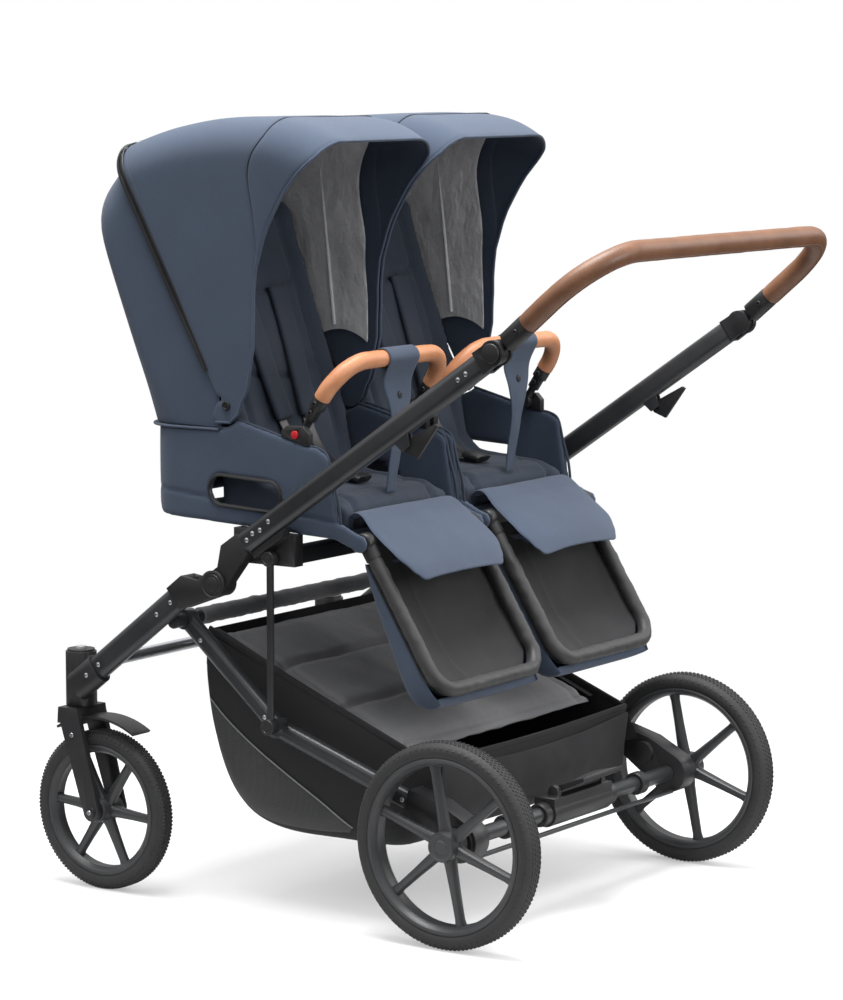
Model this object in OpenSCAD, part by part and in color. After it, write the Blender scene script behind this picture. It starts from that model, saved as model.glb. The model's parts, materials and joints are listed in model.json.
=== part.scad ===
// Side-by-side twin pushchair with two parent-facing seats on a folding four-wheel chassis.
// Travel is toward -Y, the handle is toward +Y, the ground is Z = 0. Left is +X. Millimetres.

/* [Chassis] */
// Width over the outermost hinge caps
overall_w = 800; // [720:10:960]
// Width of the flattened frame tubes, across the chassis
tube_w = 24; // [20:1:28]
// Height of the push tube section
push_tube_h = 38; // [32:1:45]
// Height of the front leg section
front_leg_h = 42; // [35:1:50]
// Wall of the frame tubes
tube_wall = 2; // [1.5:0.5:2.4]
// Height of the fold hinge above the ground
fold_z = 542; // [500:1:580]
// Distance of the fold hinge ahead of the chassis middle
fold_ahead = 166; // [150:1:180]
// Rise of the push tubes from the horizontal
push_angle = 34.5; // [30:0.5:38]
// Rise of the front legs from the horizontal
front_angle = 38; // [35:0.5:41]
// Length from the fold hinge to the handle hinge
push_len = 662; // [560:1:790]
// Drop of the fold hinge below the tube middles
hinge_drop = 26; // [24:1:29]
// Outline radius of the fold hinge knuckle
knuckle_r = 20; // [17:1:21]

/* [Rear frame] */
// Distance of the rear legs from the chassis middle plane
rear_leg_inset = 70; // [66:1:78]
// Width of the rear leg section
rear_leg_w = 22; // [19:1:24]
// Height of the rear leg section
rear_leg_h = 32; // [27:1:36]
// Outside radius of the round cross tubes
cross_tube_r = 10; // [8.5:0.5:12]
// Outside radius of the rear axle tube
axle_tube_r = 13; // [11:0.5:15]

/* [Wheels] */
// Outside radius of the rear tyres
rear_wheel_r = 165; // [150:1:180]
// Width of the rear tyres
rear_tyre_w = 45; // [38:1:46]
// Outside radius of the front tyres
front_wheel_r = 135; // [120:1:150]
// Width of the front tyres
front_tyre_w = 38; // [32:1:44]
// Distance of the front axle behind the swivel axis
trail = 48; // [40:1:56]
// Number of spokes in each wheel
spokes = 6; // [5:1:8]

/* [Handle] */
// Rise of the handle legs from the horizontal
handle_angle = 40.5; // [30:0.5:50]
// Distance from the handle hinge to the cross grip
handle_reach = 237; // [200:1:280]
// Bend radius at the handle corners
handle_bend = 110; // [90:1:130]
// Outside radius of the grip sleeve
grip_r = 17; // [15:0.5:20]

/* [Seats] */
// Height of the shell side walls
hull_h = 150; // [135:1:165]
// Front-to-back length of the seat shell
hull_len = 388; // [350:1:420]
// Wall of the seat shell
hull_wall = 10; // [8:1:12]
// Radius of the canopy about its side pivots
canopy_r = 458; // [430:1:480]
// Thickness of the canopy cloth and its stiffener
canopy_wall = 3.5; // [3:0.5:4.5]
// Rise of the bumper bar above its pivots, along the bar
bumper_reach = 140; // [120:1:165]
// Outside radius of the bumper bar grip
bumper_r = 14; // [12:0.5:16]
// Length of the leg rest frame
leg_rest_len = 267; // [225:1:290]
// Outside radius of the leg rest frame sleeve
leg_tube_r = 12; // [10:0.5:13]

/* [Basket] */
// Wall of the basket cloth
basket_wall = 4; // [3:0.5:5]
// Height of the basket floor above the ground
basket_floor = 118; // [100:1:135]

/* [Hidden] */
$fn = 96;
gap = 1;
seated = 0.3;
cut = 1;
fold_y = -fold_ahead;
tube_x = overall_w / 2 - 21;
tube_in = tube_x - tube_w / 2;
tube_out = tube_x + tube_w / 2;
cheek_t = 5;
cast_len = 84;
cast_notch = 46;
pin_r = 7;
pin_fit = 0.3;
rear_leg_x = overall_w / 2 - rear_leg_inset;
rear_leg_in = rear_leg_x - rear_leg_w / 2;
rear_leg_out = rear_leg_x + rear_leg_w / 2;
rear_pivot = [-270, 468];
rear_bend = [-85, 306];
rear_end = [225, 198];
rear_axle_y = 273;
rear_wheel_x = overall_w / 2 - 5 - rear_tyre_w / 2;
steer_x = overall_w / 2 - 44;
steer_y = -475;
steer_r = 26;
head_low = 308;
head_top = 403;
front_axle_y = steer_y + trail;
fork_in = front_tyre_w / 2 + 9;
fork_t = 10;
strut_top = [-66, 589];
strut_low = [-66, 317];
strut_t = 12;
strut_in = tube_in + 3;
seat_w = tube_in - 22;
seat_x = seat_w / 2 + 5.5;
hull_back = 52 - hull_len;
hull_front = 52;
floor_slope = 0.0468;
canopy_pivot = [-186, 836];
canopy_edge = seat_w / 2 + 0.5;
zip_angle = 118;
corner_r = 60;
rear_corner_r = 65;
bumper_pivot = [-35, 787];
bumper_angle = 56;
bumper_half = seat_w / 2 - 19.5;
bumper_bend = 65;
strap_half = 42;
strap_end = 13;
leg_pivot = [86, 621];
leg_angle = -58;
leg_half = seat_w / 2 - 25;
leg_bend = 40;

// Heights of the seat shell, which slopes down a little toward the front
function floor_z(y) = 624 + (hull_front - y) * floor_slope;
function push_point(t, n) = [
    fold_y + t * cos(push_angle) - n * sin(push_angle),
    fold_z + t * sin(push_angle) + n * cos(push_angle)];
function front_point(t, n) = [
    fold_y - t * cos(front_angle) - n * sin(front_angle),
    fold_z - t * sin(front_angle) + n * cos(front_angle)];
handle_pivot = push_point(push_len, hinge_drop);
clamp_t = (-steer_y + fold_y - hinge_drop * sin(front_angle) - 30) / cos(front_angle);

// ---- shared helpers ----

module both_sides() {
    children();
    mirror([1, 0, 0])
        children();
}

// Side outline, drawn as [y, z], extruded across X between x0 and x1
module slab(x0, x1) {
    translate([x0, 0, 0])
        rotate([90, 0, 90])
            linear_extrude(x1 - x0)
                children();
}

// Round bar along X at [y, z]
module bar(at, x0, x1, r) {
    translate([x0, at[0], at[1]])
        rotate([0, 90, 0])
            cylinder(h = x1 - x0, r = r);
}

module stadium(w, h) {
    square([w, h - w], center = true);
    translate([0, (h - w) / 2])
        circle(d = w);
    translate([0, (w - h) / 2])
        circle(d = w);
}

// Flattened tube leaving [y, z] at an angle above +Y
module flat_tube(x, at, angle, len, w, h, wall) {
    translate([x, at[0], at[1]])
        rotate([angle - 90, 0, 0])
            linear_extrude(len)
                difference() {
                    stadium(w, h);
                    if (wall > 0)
                        stadium(w - 2 * wall, h - 2 * wall);
                }
}

// Side outlines placed along the push tube or the front leg, as [along, above]
module on_push() {
    translate([fold_y, fold_z])
        rotate(push_angle)
            children();
}

module on_front() {
    translate([fold_y, fold_z])
        rotate(front_angle)
            mirror([1, 0])
                children();
}

// Section ring used by the bent bars
module ring(r, hole) {
    difference() {
        circle(r);
        if (hole > 0)
            circle(hole);
    }
}

// U-shaped bar lying in XY: legs at +-half along +Y from y0, closed by a cross bar at y1
module u_bar(half, y0, y1, bend, r, hole) {
    both_sides() {
        translate([half, y0, 0])
            rotate([-90, 0, 0])
                linear_extrude(y1 - bend - y0)
                    ring(r, hole);
        translate([half - bend, y1 - bend, 0])
            rotate_extrude(angle = 90)
                translate([bend, 0])
                    ring(r, hole);
    }
    translate([bend - half, y1, 0])
        rotate([0, 90, 0])
            linear_extrude(2 * (half - bend))
                ring(r, hole);
}

// Casting outline round a hinge: knuckle at the origin, tube face at cast_len
module casting_outline(r, h) {
    circle(r);
    polygon([[0, -r], [cast_len, hinge_drop - h / 2], [cast_len, hinge_drop + h / 2],
        [cast_notch, hinge_drop + h / 2], [r, r], [0, r]]);
}

// ---- front frame ----

front_leg_len = clamp_t - cast_len + 12;

module front_leg_shape(wall, extra) {
    flat_tube(tube_x, front_point(cast_len, hinge_drop), 180 + front_angle,
        front_leg_len, tube_w + extra, front_leg_h + extra, wall);
}

module front_legs() {
    color("#2b2c2f")
        both_sides() {
            front_leg_shape(tube_wall, 0);
            bar(rear_pivot, rear_leg_out + gap, tube_in + tube_wall / 2, 12);
            bar(rear_pivot, rear_leg_in + 2, tube_in + tube_wall / 2, pin_r);
        }
}

module front_cross_tube() {
    at = front_point(278, hinge_drop);
    color("#85888c")
        difference() {
            bar(at, seated - tube_in, tube_in - seated, cross_tube_r);
            bar(at, -tube_in + 2, tube_in - 2, cross_tube_r - tube_wall);
        }
}

module steering_heads() {
    color("#202124")
        both_sides()
            difference() {
                union() {
                    translate([steer_x, steer_y, head_low])
                        cylinder(h = head_top - head_low - 4, r = steer_r);
                    translate([steer_x, steer_y, head_top - 4])
                        cylinder(h = 4, r = steer_r - 3);
                    flat_tube(tube_x - 1, front_point(clamp_t - 34, hinge_drop),
                        180 + front_angle, 58, tube_w + 10, front_leg_h + 10, 0);
                }
                front_leg_shape(0, 2 * seated);
                translate([steer_x, steer_y, head_low - cut])
                    cylinder(h = head_top - head_low - 14, r = 8 + pin_fit);
                translate([steer_x, steer_y, head_top - 11])
                    cylinder(h = 12, r = 9);
            }
}

module fold_hinge_cheeks() {
    color("#26272a")
        both_sides()
            difference() {
                union() {
                    slab(tube_out + gap, tube_out + gap + cheek_t)
                        on_front()
                            casting_outline(knuckle_r + 2, front_leg_h);
                    slab(tube_in - gap - cheek_t, tube_in - gap)
                        on_front()
                            casting_outline(knuckle_r + 2, front_leg_h);
                    slab(tube_in - gap - cut, tube_out + gap + cut)
                        on_front()
                            polygon([[38, 8], [cast_len, hinge_drop - front_leg_h / 2],
                                [cast_len, hinge_drop + front_leg_h / 2],
                                [cast_notch, hinge_drop + front_leg_h / 2], [38, 36]]);
                    bar([fold_y, fold_z], tube_in - gap - cheek_t, overall_w / 2 - 3, 18);
                    bar([fold_y, fold_z], overall_w / 2 - 5, overall_w / 2, 12);
                }
                bar([fold_y, fold_z], tube_in - gap, tube_out + gap, knuckle_r + 1);
            }
    color("#26272a")
        both_sides()
            bar([fold_y, fold_z], tube_in - gap - cheek_t + cut, tube_out + gap + cut, pin_r);
}

// ---- casters ----

module caster_fork(side) {
    hub = [front_axle_y, front_wheel_r];
    color("#1f2022")
        translate([side * steer_x, 0, 0]) {
            translate([0, steer_y, head_low - 12])
                cylinder(h = 92, r = 8);
            slab(-fork_in - fork_t, fork_in + fork_t)
                polygon([[steer_y - 22, head_low - 28], [steer_y + 24, head_low - 28],
                    [steer_y + 20, head_low - gap], [steer_y - 20, head_low - gap]]);
            both_sides()
                slab(fork_in, fork_in + fork_t) {
                    translate(hub)
                        circle(16);
                    polygon([[steer_y - 21, head_low - 12], [steer_y + 22, head_low - 12],
                        [hub[0] + 15, hub[1] + 5], [hub[0] - 15, hub[1] - 5]]);
                }
            bar(hub, -fork_in - fork_t - 4, fork_in + fork_t + 4, 5);
            both_sides()
                bar(hub, fork_in + fork_t - cut, fork_in + fork_t + 4, 9);
            translate([0, hub[0], hub[1]])
                rotate([90, 0, 90])
                    rotate(60)
                        rotate_extrude(angle = 62)
                            translate([front_wheel_r + 21, -front_tyre_w / 2 - 4])
                                square([4, front_tyre_w + 8]);
        }
}

module swivel_lock(side) {
    color("#9a9b9d")
        translate([side * steer_x, steer_y, head_top - 5.5])
            cylinder(h = 10, r = 9 - pin_fit);
}

// ---- wheels ----

// Wheel disc about X at the origin: barrel, spokes and bored hub
module wheel_rim(r, w, hub_w, hub_r, bore_r) {
    rim_r = r - 25;
    rotate([0, 90, 0]) {
        rotate_extrude()
            polygon([[rim_r - 11, -w / 2 + 4], [rim_r, -w / 2 + 4], [rim_r, w / 2 - 4],
                [rim_r - 11, w / 2 - 4], [rim_r - 7, 0]]);
        difference() {
            union() {
                cylinder(h = hub_w, r = hub_r, center = true);
                for (i = [0 : spokes - 1])
                    rotate(i * 360 / spokes)
                        translate([0, 0, -8])
                            linear_extrude(16)
                                polygon([[hub_r - 3, -hub_r / 3], [rim_r - 4, -7],
                                    [rim_r - 4, 7], [hub_r - 3, hub_r / 3]]);
            }
            cylinder(h = hub_w + 2, r = bore_r, center = true);
        }
    }
}

// Tyre section swept round X, rounded crown and a shallow bead step
module wheel_tyre(r, w) {
    seat = r - 25 + seated;
    rotate([0, 90, 0])
        rotate_extrude()
            polygon([[seat, -w / 2 + 4], [seat + 7, -w / 2], [r - 9, -w / 2 + 1],
                [r - 3, -w / 2 + 7], [r, -w / 5], [r, w / 5], [r - 3, w / 2 - 7],
                [r - 9, w / 2 - 1], [seat + 7, w / 2], [seat, w / 2 - 4]]);
}

module rear_wheel(side) {
    color("#3a3b3e")
        translate([side * rear_wheel_x, rear_axle_y, rear_wheel_r])
            wheel_rim(rear_wheel_r, rear_tyre_w, rear_tyre_w + 1, 24, 6 + pin_fit);
}

module rear_tyre(side) {
    color("#232323")
        translate([side * rear_wheel_x, rear_axle_y, rear_wheel_r])
            wheel_tyre(rear_wheel_r, rear_tyre_w);
}

module front_wheel(side) {
    color("#3a3b3e")
        translate([side * steer_x, front_axle_y, front_wheel_r])
            wheel_rim(front_wheel_r, front_tyre_w, front_tyre_w + 16, 20, 5 + pin_fit);
}

module front_tyre(side) {
    color("#232323")
        translate([side * steer_x, front_axle_y, front_wheel_r])
            wheel_tyre(front_wheel_r, front_tyre_w);
}

// ---- push frame ----

module push_tubes() {
    under = hinge_drop - push_tube_h / 2;
    lug = push_point(440, under - 10);
    color("#2b2c2f")
        both_sides() {
            flat_tube(tube_x, push_point(cast_len, hinge_drop), push_angle,
                push_len - cast_len - 30, tube_w, push_tube_h, tube_wall);
            for (x = [tube_x - 7, tube_x + 3.5])
                slab(x, x + 3.5)
                    on_push()
                        polygon([[425, under + 2.4], [431, under - 17], [449, under - 17],
                            [455, under + 2.4]]);
            bar(lug, tube_x - 7, tube_x + 7, 2.6);
        }
}

module push_castings() {
    color("#26272a")
        both_sides()
            difference() {
                slab(tube_in, tube_out)
                    on_push()
                        casting_outline(knuckle_r, push_tube_h);
                bar([fold_y, fold_z], tube_in - cut, tube_out + cut, pin_r + pin_fit);
            }
}

module seat_brackets() {
    x0 = tube_in - 24;
    under = hinge_drop - push_tube_h / 2;
    color("#1d1e20")
        both_sides() {
            slab(x0, tube_in - gap)
                polygon([[-146, 577], [-25, 577], [-25, floor_z(-25) - seated],
                    [-146, floor_z(-146) - seated]]);
            slab(tube_in - gap - cut, tube_x + 6)
                on_push()
                    polygon([[88, under - 11], [155, under - 11], [166, under - seated],
                        [88, under - seated]]);
            bar(strut_top, x0 + 4, strut_in + strut_t + 2, 6);
        }
}

module seat_cross_bar() {
    half = tube_in - 24 - seated;
    color("#34363a")
        slab(-half, half)
            difference() {
                translate([-78, 577])
                    square([36, 24]);
                translate([-76, 579])
                    square([32, 20]);
            }
    color("#34363a")
        slab(-22, 22)
            polygon([[-110, 601], [-15, 601], [-15, floor_z(-15) - seated],
                [-110, floor_z(-110) - seated]]);
}

module handle_pivots() {
    end_t = push_len - 30;
    color("#202124")
        both_sides()
            difference() {
                union() {
                    slab(tube_in, tube_in + cheek_t)
                        on_push()
                            handle_knuckle_outline();
                    slab(tube_out - 6, tube_out + 5)
                        on_push()
                            handle_knuckle_outline();
                    slab(tube_in, tube_out)
                        on_push()
                            translate([end_t, hinge_drop - push_tube_h / 2])
                                square([6, push_tube_h]);
                }
                bar(handle_pivot, tube_out - 2.5, tube_out + 5 + cut, 15.5);
            }
    color("#202124")
        both_sides()
            bar(handle_pivot, tube_in + 1, tube_out - 3, 6);
}

module handle_knuckle_outline() {
    translate([push_len, hinge_drop])
        circle(20);
    translate([push_len - 30, hinge_drop - push_tube_h / 2])
        polygon([[0, 0], [0, push_tube_h], [30, push_tube_h - 1], [30, 1]]);
}

module handle_button(side) {
    color("#2c2d30")
        scale([side, 1, 1])
            bar(handle_pivot, tube_out + 1, overall_w / 2, 15.2);
}

module handle_frame() {
    translate([0, handle_pivot[0], handle_pivot[1]])
        rotate([handle_angle, 0, 0])
            children();
}

module handle_bar() {
    color("#202124")
        handle_frame()
            difference() {
                union() {
                    both_sides()
                        translate([tube_x, 0, 0]) {
                            translate([-6, 0, 0])
                                rotate([0, 90, 0])
                                    cylinder(h = 11.5, r = 18);
                            translate([-6, 0, -9])
                                cube([11.5, 30, 18]);
                            translate([0, 25, 0])
                                rotate([-90, 0, 0])
                                    linear_extrude(45)
                                        stadium(tube_w, 34);
                        }
                    u_bar(tube_x, 60, handle_reach, handle_bend, grip_r - 5, 0);
                }
                translate([-tube_out, 0, 0])
                    rotate([0, 90, 0])
                        cylinder(h = 2 * tube_out, r = 6 + pin_fit);
            }
}

module handle_grip() {
    color("#9a6546")
        handle_frame()
            u_bar(tube_x, 70 + seated, handle_reach, handle_bend, grip_r, grip_r - 4.9);
}

module fold_trigger(side) {
    under = hinge_drop - push_tube_h / 2;
    color("#26272a")
        scale([side, 1, 1])
            difference() {
                slab(tube_x - 3, tube_x + 3)
                    on_push()
                        polygon([[434, under - 6], [447, under - 6], [505, under - 12],
                            [508, under - 18], [447, under - 40], [433, under - 20]]);
                bar(push_point(440, under - 10), tube_x - 4, tube_x + 4, 2.6 + pin_fit);
            }
}

module struts() {
    mid = strut_in + strut_t / 2;
    color("#232427")
        both_sides()
            difference() {
                union() {
                    translate([mid, strut_top[0], strut_low[1]])
                        cylinder(h = strut_top[1] - strut_low[1], r = strut_t / 2);
                    bar(strut_top, strut_in, strut_in + strut_t, 12);
                    bar(strut_low, strut_in, strut_in + strut_t + 4, 13);
                }
                bar(strut_top, strut_in - cut, strut_in + strut_t + cut, 6 + pin_fit);
            }
}

// ---- rear frame ----

upper_leg = rear_bend - rear_pivot;
lower_leg = rear_end - rear_bend;

module rear_leg_shape(wall, extra) {
    flat_tube(rear_leg_x, rear_bend, atan2(lower_leg[1], lower_leg[0]),
        norm(lower_leg), rear_leg_w + extra, rear_leg_h + extra, wall);
}

module rear_legs() {
    away = atan2(upper_leg[1], upper_leg[0]);
    color("#2b2c2f")
        both_sides() {
            difference() {
                union() {
                    flat_tube(rear_leg_x, rear_pivot, away, norm(upper_leg),
                        rear_leg_w, rear_leg_h, 0);
                    bar(rear_pivot, rear_leg_in, rear_leg_out, 17);
                    rear_leg_shape(0, 0);
                    bar(rear_bend, rear_leg_in, rear_leg_out, rear_leg_h / 2);
                }
                bar(rear_pivot, rear_leg_in + 2 - cut, rear_leg_out + cut, pin_r + pin_fit);
                translate([0, 26 * cos(away), 26 * sin(away)])
                    flat_tube(rear_leg_x, rear_pivot, away, norm(upper_leg) - 26,
                        rear_leg_w - 2 * tube_wall, rear_leg_h - 2 * tube_wall, 0);
                rear_leg_shape(0, -2 * tube_wall);
            }
            bar(strut_low, rear_leg_out - 0.5, strut_in - 1.5, 9);
        }
}

module rear_cross_tubes() {
    axle = [rear_axle_y, rear_wheel_r];
    pod_in = rear_leg_in - 13 - seated;
    color("#2b2c2f") {
        difference() {
            bar(rear_pivot, seated - rear_leg_in, rear_leg_in - seated, cross_tube_r + 1);
            bar(rear_pivot, 2 - rear_leg_in, rear_leg_in - 2, cross_tube_r + 1 - tube_wall);
        }
        difference() {
            bar(axle, -pod_in, pod_in, axle_tube_r);
            bar(axle, 2 - pod_in, pod_in - 2, axle_tube_r - tube_wall);
        }
        bar([rear_axle_y + 10, rear_wheel_r - 30], -pod_in, pod_in, 4);
    }
}

module axle_pods() {
    axle = [rear_axle_y, rear_wheel_r];
    pod_in = rear_leg_in - 13;
    pod_out = rear_leg_out + 4;
    color("#1b1c1e")
        both_sides()
            difference() {
                union() {
                    slab(pod_in, pod_out) {
                        translate(axle)
                            circle(34);
                        polygon([[168, 200], [180, 238], [238, 222], [axle[0] + 16, axle[1] + 30],
                            [axle[0] + 5, axle[1] - 33], [axle[0] - 18, axle[1] - 28]]);
                    }
                    bar([226, 196], pod_in - 8, pod_in + cut, 20);
                    bar(axle, pod_out - cut, pod_out + 3, 28);
                    bar(axle, pod_out, rear_wheel_x + 14, 6);
                }
                rear_leg_shape(0, 2 * seated);
            }
}

module brake_housing() {
    axle = [rear_axle_y, rear_wheel_r];
    color("#232427")
        difference() {
            union() {
                slab(-90, 90) {
                    translate(axle)
                        circle(23);
                    translate([axle[0] - 20, axle[1]])
                        square([40, 26]);
                }
                both_sides()
                    slab(63, 74) {
                        translate([axle[0] + 6, axle[1] + 34])
                            circle(10);
                        translate([axle[0] - 4, axle[1]])
                            square([20, 34]);
                    }
                bar([axle[0] + 6, axle[1] + 34], -64, 64, 4);
            }
            bar(axle, -91, 91, axle_tube_r + 0.1);
        }
}

module brake_pedal() {
    hinge = [rear_axle_y + 6, rear_wheel_r + 34];
    color("#303134")
        difference() {
            slab(-62, 62) {
                translate(hinge)
                    circle(7.5);
                polygon([[hinge[0], hinge[1] - 3], [hinge[0] + 52, hinge[1] + 20],
                    [hinge[0] + 50, hinge[1] + 27], [hinge[0] - 2, hinge[1] + 7]]);
            }
            bar(hinge, -63, 63, 4 + pin_fit);
        }
}

// ---- basket ----

basket_half = rear_leg_in - 16;

module basket_outline(inset) {
    floor = basket_floor + inset;
    polygon([[-252 + inset, 500], [-252 + inset, 330], [-236 + inset, 235],
        [-190 + inset, floor + 30], [-120, floor], [110, floor], [175 - inset, floor + 40],
        [196 - inset, 262], [190 - inset, 500]]);
}

module above_rim() {
    polygon([[-300, 452], [-245, 452], [135, 284], [300, 248], [300, 600], [-300, 600]]);
}

module basket() {
    color("#17181a")
        difference() {
            slab(-basket_half, basket_half)
                difference() {
                    basket_outline(0);
                    above_rim();
                }
            slab(basket_wall - basket_half, basket_half - basket_wall)
                basket_outline(basket_wall);
        }
}

module basket_cover() {
    half = basket_half - basket_wall - seated;
    front = -245 + basket_wall;
    color("#3b3d40")
        slab(-half, half)
            polygon([[front, 448], [135, 280], [135, 268], [front, 436]]);
    color("#3b3d40")
        slab(-half, half)
            translate(rear_pivot)
                difference() {
                    circle(cross_tube_r + 4);
                    circle(cross_tube_r + 1 + seated);
                }
}

// ---- seats ----

module at_seat(side) {
    translate([side * seat_x, 0, 0])
        children();
}

// Plan outline of the seat shell with rounded corners
module hull_plan(w, y0, y1, r) {
    linear_extrude(2 * fold_z) {
        translate([-w / 2 + r, y0])
            square([w - 2 * r, y1 - y0]);
        translate([-w / 2, y0 + r])
            square([w, y1 - y0 - r]);
        for (x = [-w / 2 + r, w / 2 - r])
            translate([x, y0 + r])
                circle(r);
    }
}

module hull_side_outline() {
    top = floor_z(hull_back) + hull_h - 5;
    polygon([[hull_back, top], [hull_back - 2, top - 86], [hull_back + 4, top - 118],
        [hull_back + 25, floor_z(hull_back + 25)], [hull_front, floor_z(hull_front)],
        [27, 758], [8, 768], [-22, 772], [-150, 804], [-160, 796], [-185, top]]);
}

module seat_hull(side) {
    inner = hull_back + hull_wall;
    color("#2c3a4e")
        at_seat(side)
            difference() {
                union() {
                    intersection() {
                        slab(-seat_w / 2, seat_w / 2)
                            hull_side_outline();
                        hull_plan(seat_w, hull_back - 2, hull_front, 60);
                    }
                    both_sides()
                        slab(seat_w / 2 - hull_wall, seat_w / 2) {
                            translate(leg_pivot)
                                circle(15);
                            polygon([[40, floor_z(40)], leg_pivot - [0, 14],
                                leg_pivot + [0, 14], [42, 656]]);
                        }
                    both_sides()
                        bar(leg_pivot, leg_half - 10, seat_w / 2 - cut, 6);
                }
                intersection() {
                    slab(hull_wall - seat_w / 2, seat_w / 2 - hull_wall)
                        polygon([[inner, floor_z(inner) + hull_wall],
                            [hull_front + 9, floor_z(hull_front + 9) + hull_wall],
                            [hull_front + 9, 900], [inner, 900]]);
                    hull_plan(seat_w - 2 * hull_wall, inner, hull_front + 9, 50);
                }
                slab(-seat_w / 2 - cut, seat_w / 2 + cut)
                    translate([-135, 687])
                        rotate(87)
                            stadium(46, 140);
            }
}

module seat_pad(side) {
    half = seat_w / 2 - 22;
    bottom = hull_wall + seated;
    color("#26313f")
        at_seat(side)
            slab(-half, half)
                polygon([[-205, floor_z(-205) + bottom], [44, floor_z(44) + bottom],
                    [47, 668], [38, 679], [15, 683], [-118, 695], [-146, 716],
                    [-205, 900], [-286, 1120], [-296, 1132], [-312, 1136], [-326, 1128],
                    [-330, 1112], [-240, 890], [-205, 740]]);
}

// Ball-cornered block that rounds the rear of the canopy
module canopy_block(half, r) {
    $fn = 32;
    hull()
        for (at = [[-272, 745], [-401, 1130], [-350, 1186], [-253, 1216], [-200, 745]])
            for (x = [r - half, half - r])
                translate([x, at[0], at[1]])
                    sphere(r);
}

module canopy_rear(side) {
    half = canopy_edge - canopy_wall - 1.5;
    hem = floor_z(hull_back) + hull_h - 5 + seated;
    far = 700 * [cos(zip_angle), sin(zip_angle)];
    color("#33445c")
        at_seat(side) {
            intersection() {
                difference() {
                    canopy_block(half, rear_corner_r);
                    canopy_block(half - 4, rear_corner_r - 4);
                }
                slab(-half, half)
                    polygon([canopy_pivot, canopy_pivot + far, [-700, 1300], [-700, hem],
                        [-197, hem]]);
            }
            both_sides() {
                bar(canopy_pivot, half - 4, half, 22);
                bar(canopy_pivot, half - 1, canopy_edge + 2, 5);
                bar(canopy_pivot, canopy_edge + 0.8, canopy_edge + 2.3, 8);
            }
        }
}

// Half section of the canopy: distance from the pivot axis against width
module canopy_section(half, r, corner, r0) {
    translate([r0, -half + corner])
        square([r - r0, 2 * (half - corner)]);
    translate([r0, -half])
        square([r - corner - r0, 2 * half]);
    for (x = [corner - half, half - corner])
        translate([r - corner, x])
            circle(corner);
}

module canopy_front(side) {
    inner = canopy_edge - canopy_wall;
    color("#3a4c66")
        at_seat(side)
            difference() {
                union() {
                    translate([0, canopy_pivot[0], canopy_pivot[1]])
                        rotate([90, 0, 90])
                            rotate(58)
                                rotate_extrude(angle = zip_angle + 3 - 58)
                                    difference() {
                                        canopy_section(canopy_edge, canopy_r, corner_r, 25);
                                        canopy_section(inner, canopy_r - canopy_wall,
                                            corner_r - canopy_wall, 25 - cut);
                                    }
                    both_sides()
                        bar(canopy_pivot, inner - 0.5, canopy_edge + 0.5, 43);
                }
                both_sides()
                    bar(canopy_pivot, inner - 2 * cut, canopy_edge + 2 * cut, 5 + pin_fit);
                slab(-seat_w, seat_w)
                    polygon([[-140, 835], [-128, 880], [-116, 940], [-112, 1040],
                        [-92, 1105], [-50, 1172], [2, 1222], [14, 1246], [12, 1280],
                        [60, 1400], [400, 1400], [400, 835]]);
            }
}

// ---- bumper bars ----

module bumper_mounts(side) {
    y0 = bumper_pivot[0];
    color("#1d1e20")
        at_seat(side)
            both_sides() {
                difference() {
                    slab(seat_w / 2 - 12, seat_w / 2)
                        polygon([[y0 - 27, 782.6], [-22, 772.3], [y0 + 27, 770.3],
                            [y0 + 27, 790], [y0 + 16, 801], [y0 - 16, 801],
                            [y0 - 27, 792]]);
                    bar(bumper_pivot, seat_w / 2 - 5, seat_w / 2 + cut, 7);
                }
                bar(bumper_pivot, bumper_half - 5, seat_w / 2 - 11, 5);
            }
}

module bumper_button(side, facing) {
    color("#b3262c")
        at_seat(side)
            scale([facing, 1, 1])
                bar(bumper_pivot, seat_w / 2 - 2.5, seat_w / 2 + 2, 7 - pin_fit);
}

module bumper_frame(side) {
    at_seat(side)
        translate([0, bumper_pivot[0], bumper_pivot[1]])
            rotate([bumper_angle, 0, 0])
                children();
}

module bumper_bar(side) {
    color("#1d1e20")
        bumper_frame(side)
            both_sides()
                difference() {
                    union() {
                        translate([bumper_half - 6, 0, 0])
                            rotate([0, 90, 0])
                                cylinder(h = 12, r = 12);
                        translate([bumper_half, 0, 0])
                            rotate([-90, 0, 0])
                                cylinder(h = bumper_reach - 70, r = 6.5);
                        translate([bumper_half, 30, 0])
                            rotate([-90, 0, 0])
                                cylinder(h = bumper_reach - 100, r = 10);
                        translate([bumper_half, bumper_reach - 88, 0])
                            rotate([-90, 0, 0])
                                cylinder(h = 18, r = 13);
                    }
                    translate([bumper_half - 7, 0, 0])
                        rotate([0, 90, 0])
                            cylinder(h = 16, r = 5 + pin_fit);
                }
}

module bumper_grip(side) {
    color("#b9683f")
        bumper_frame(side)
            u_bar(bumper_half, bumper_reach - 70 + seated, bumper_reach, bumper_bend,
                bumper_r, 0);
}

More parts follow.
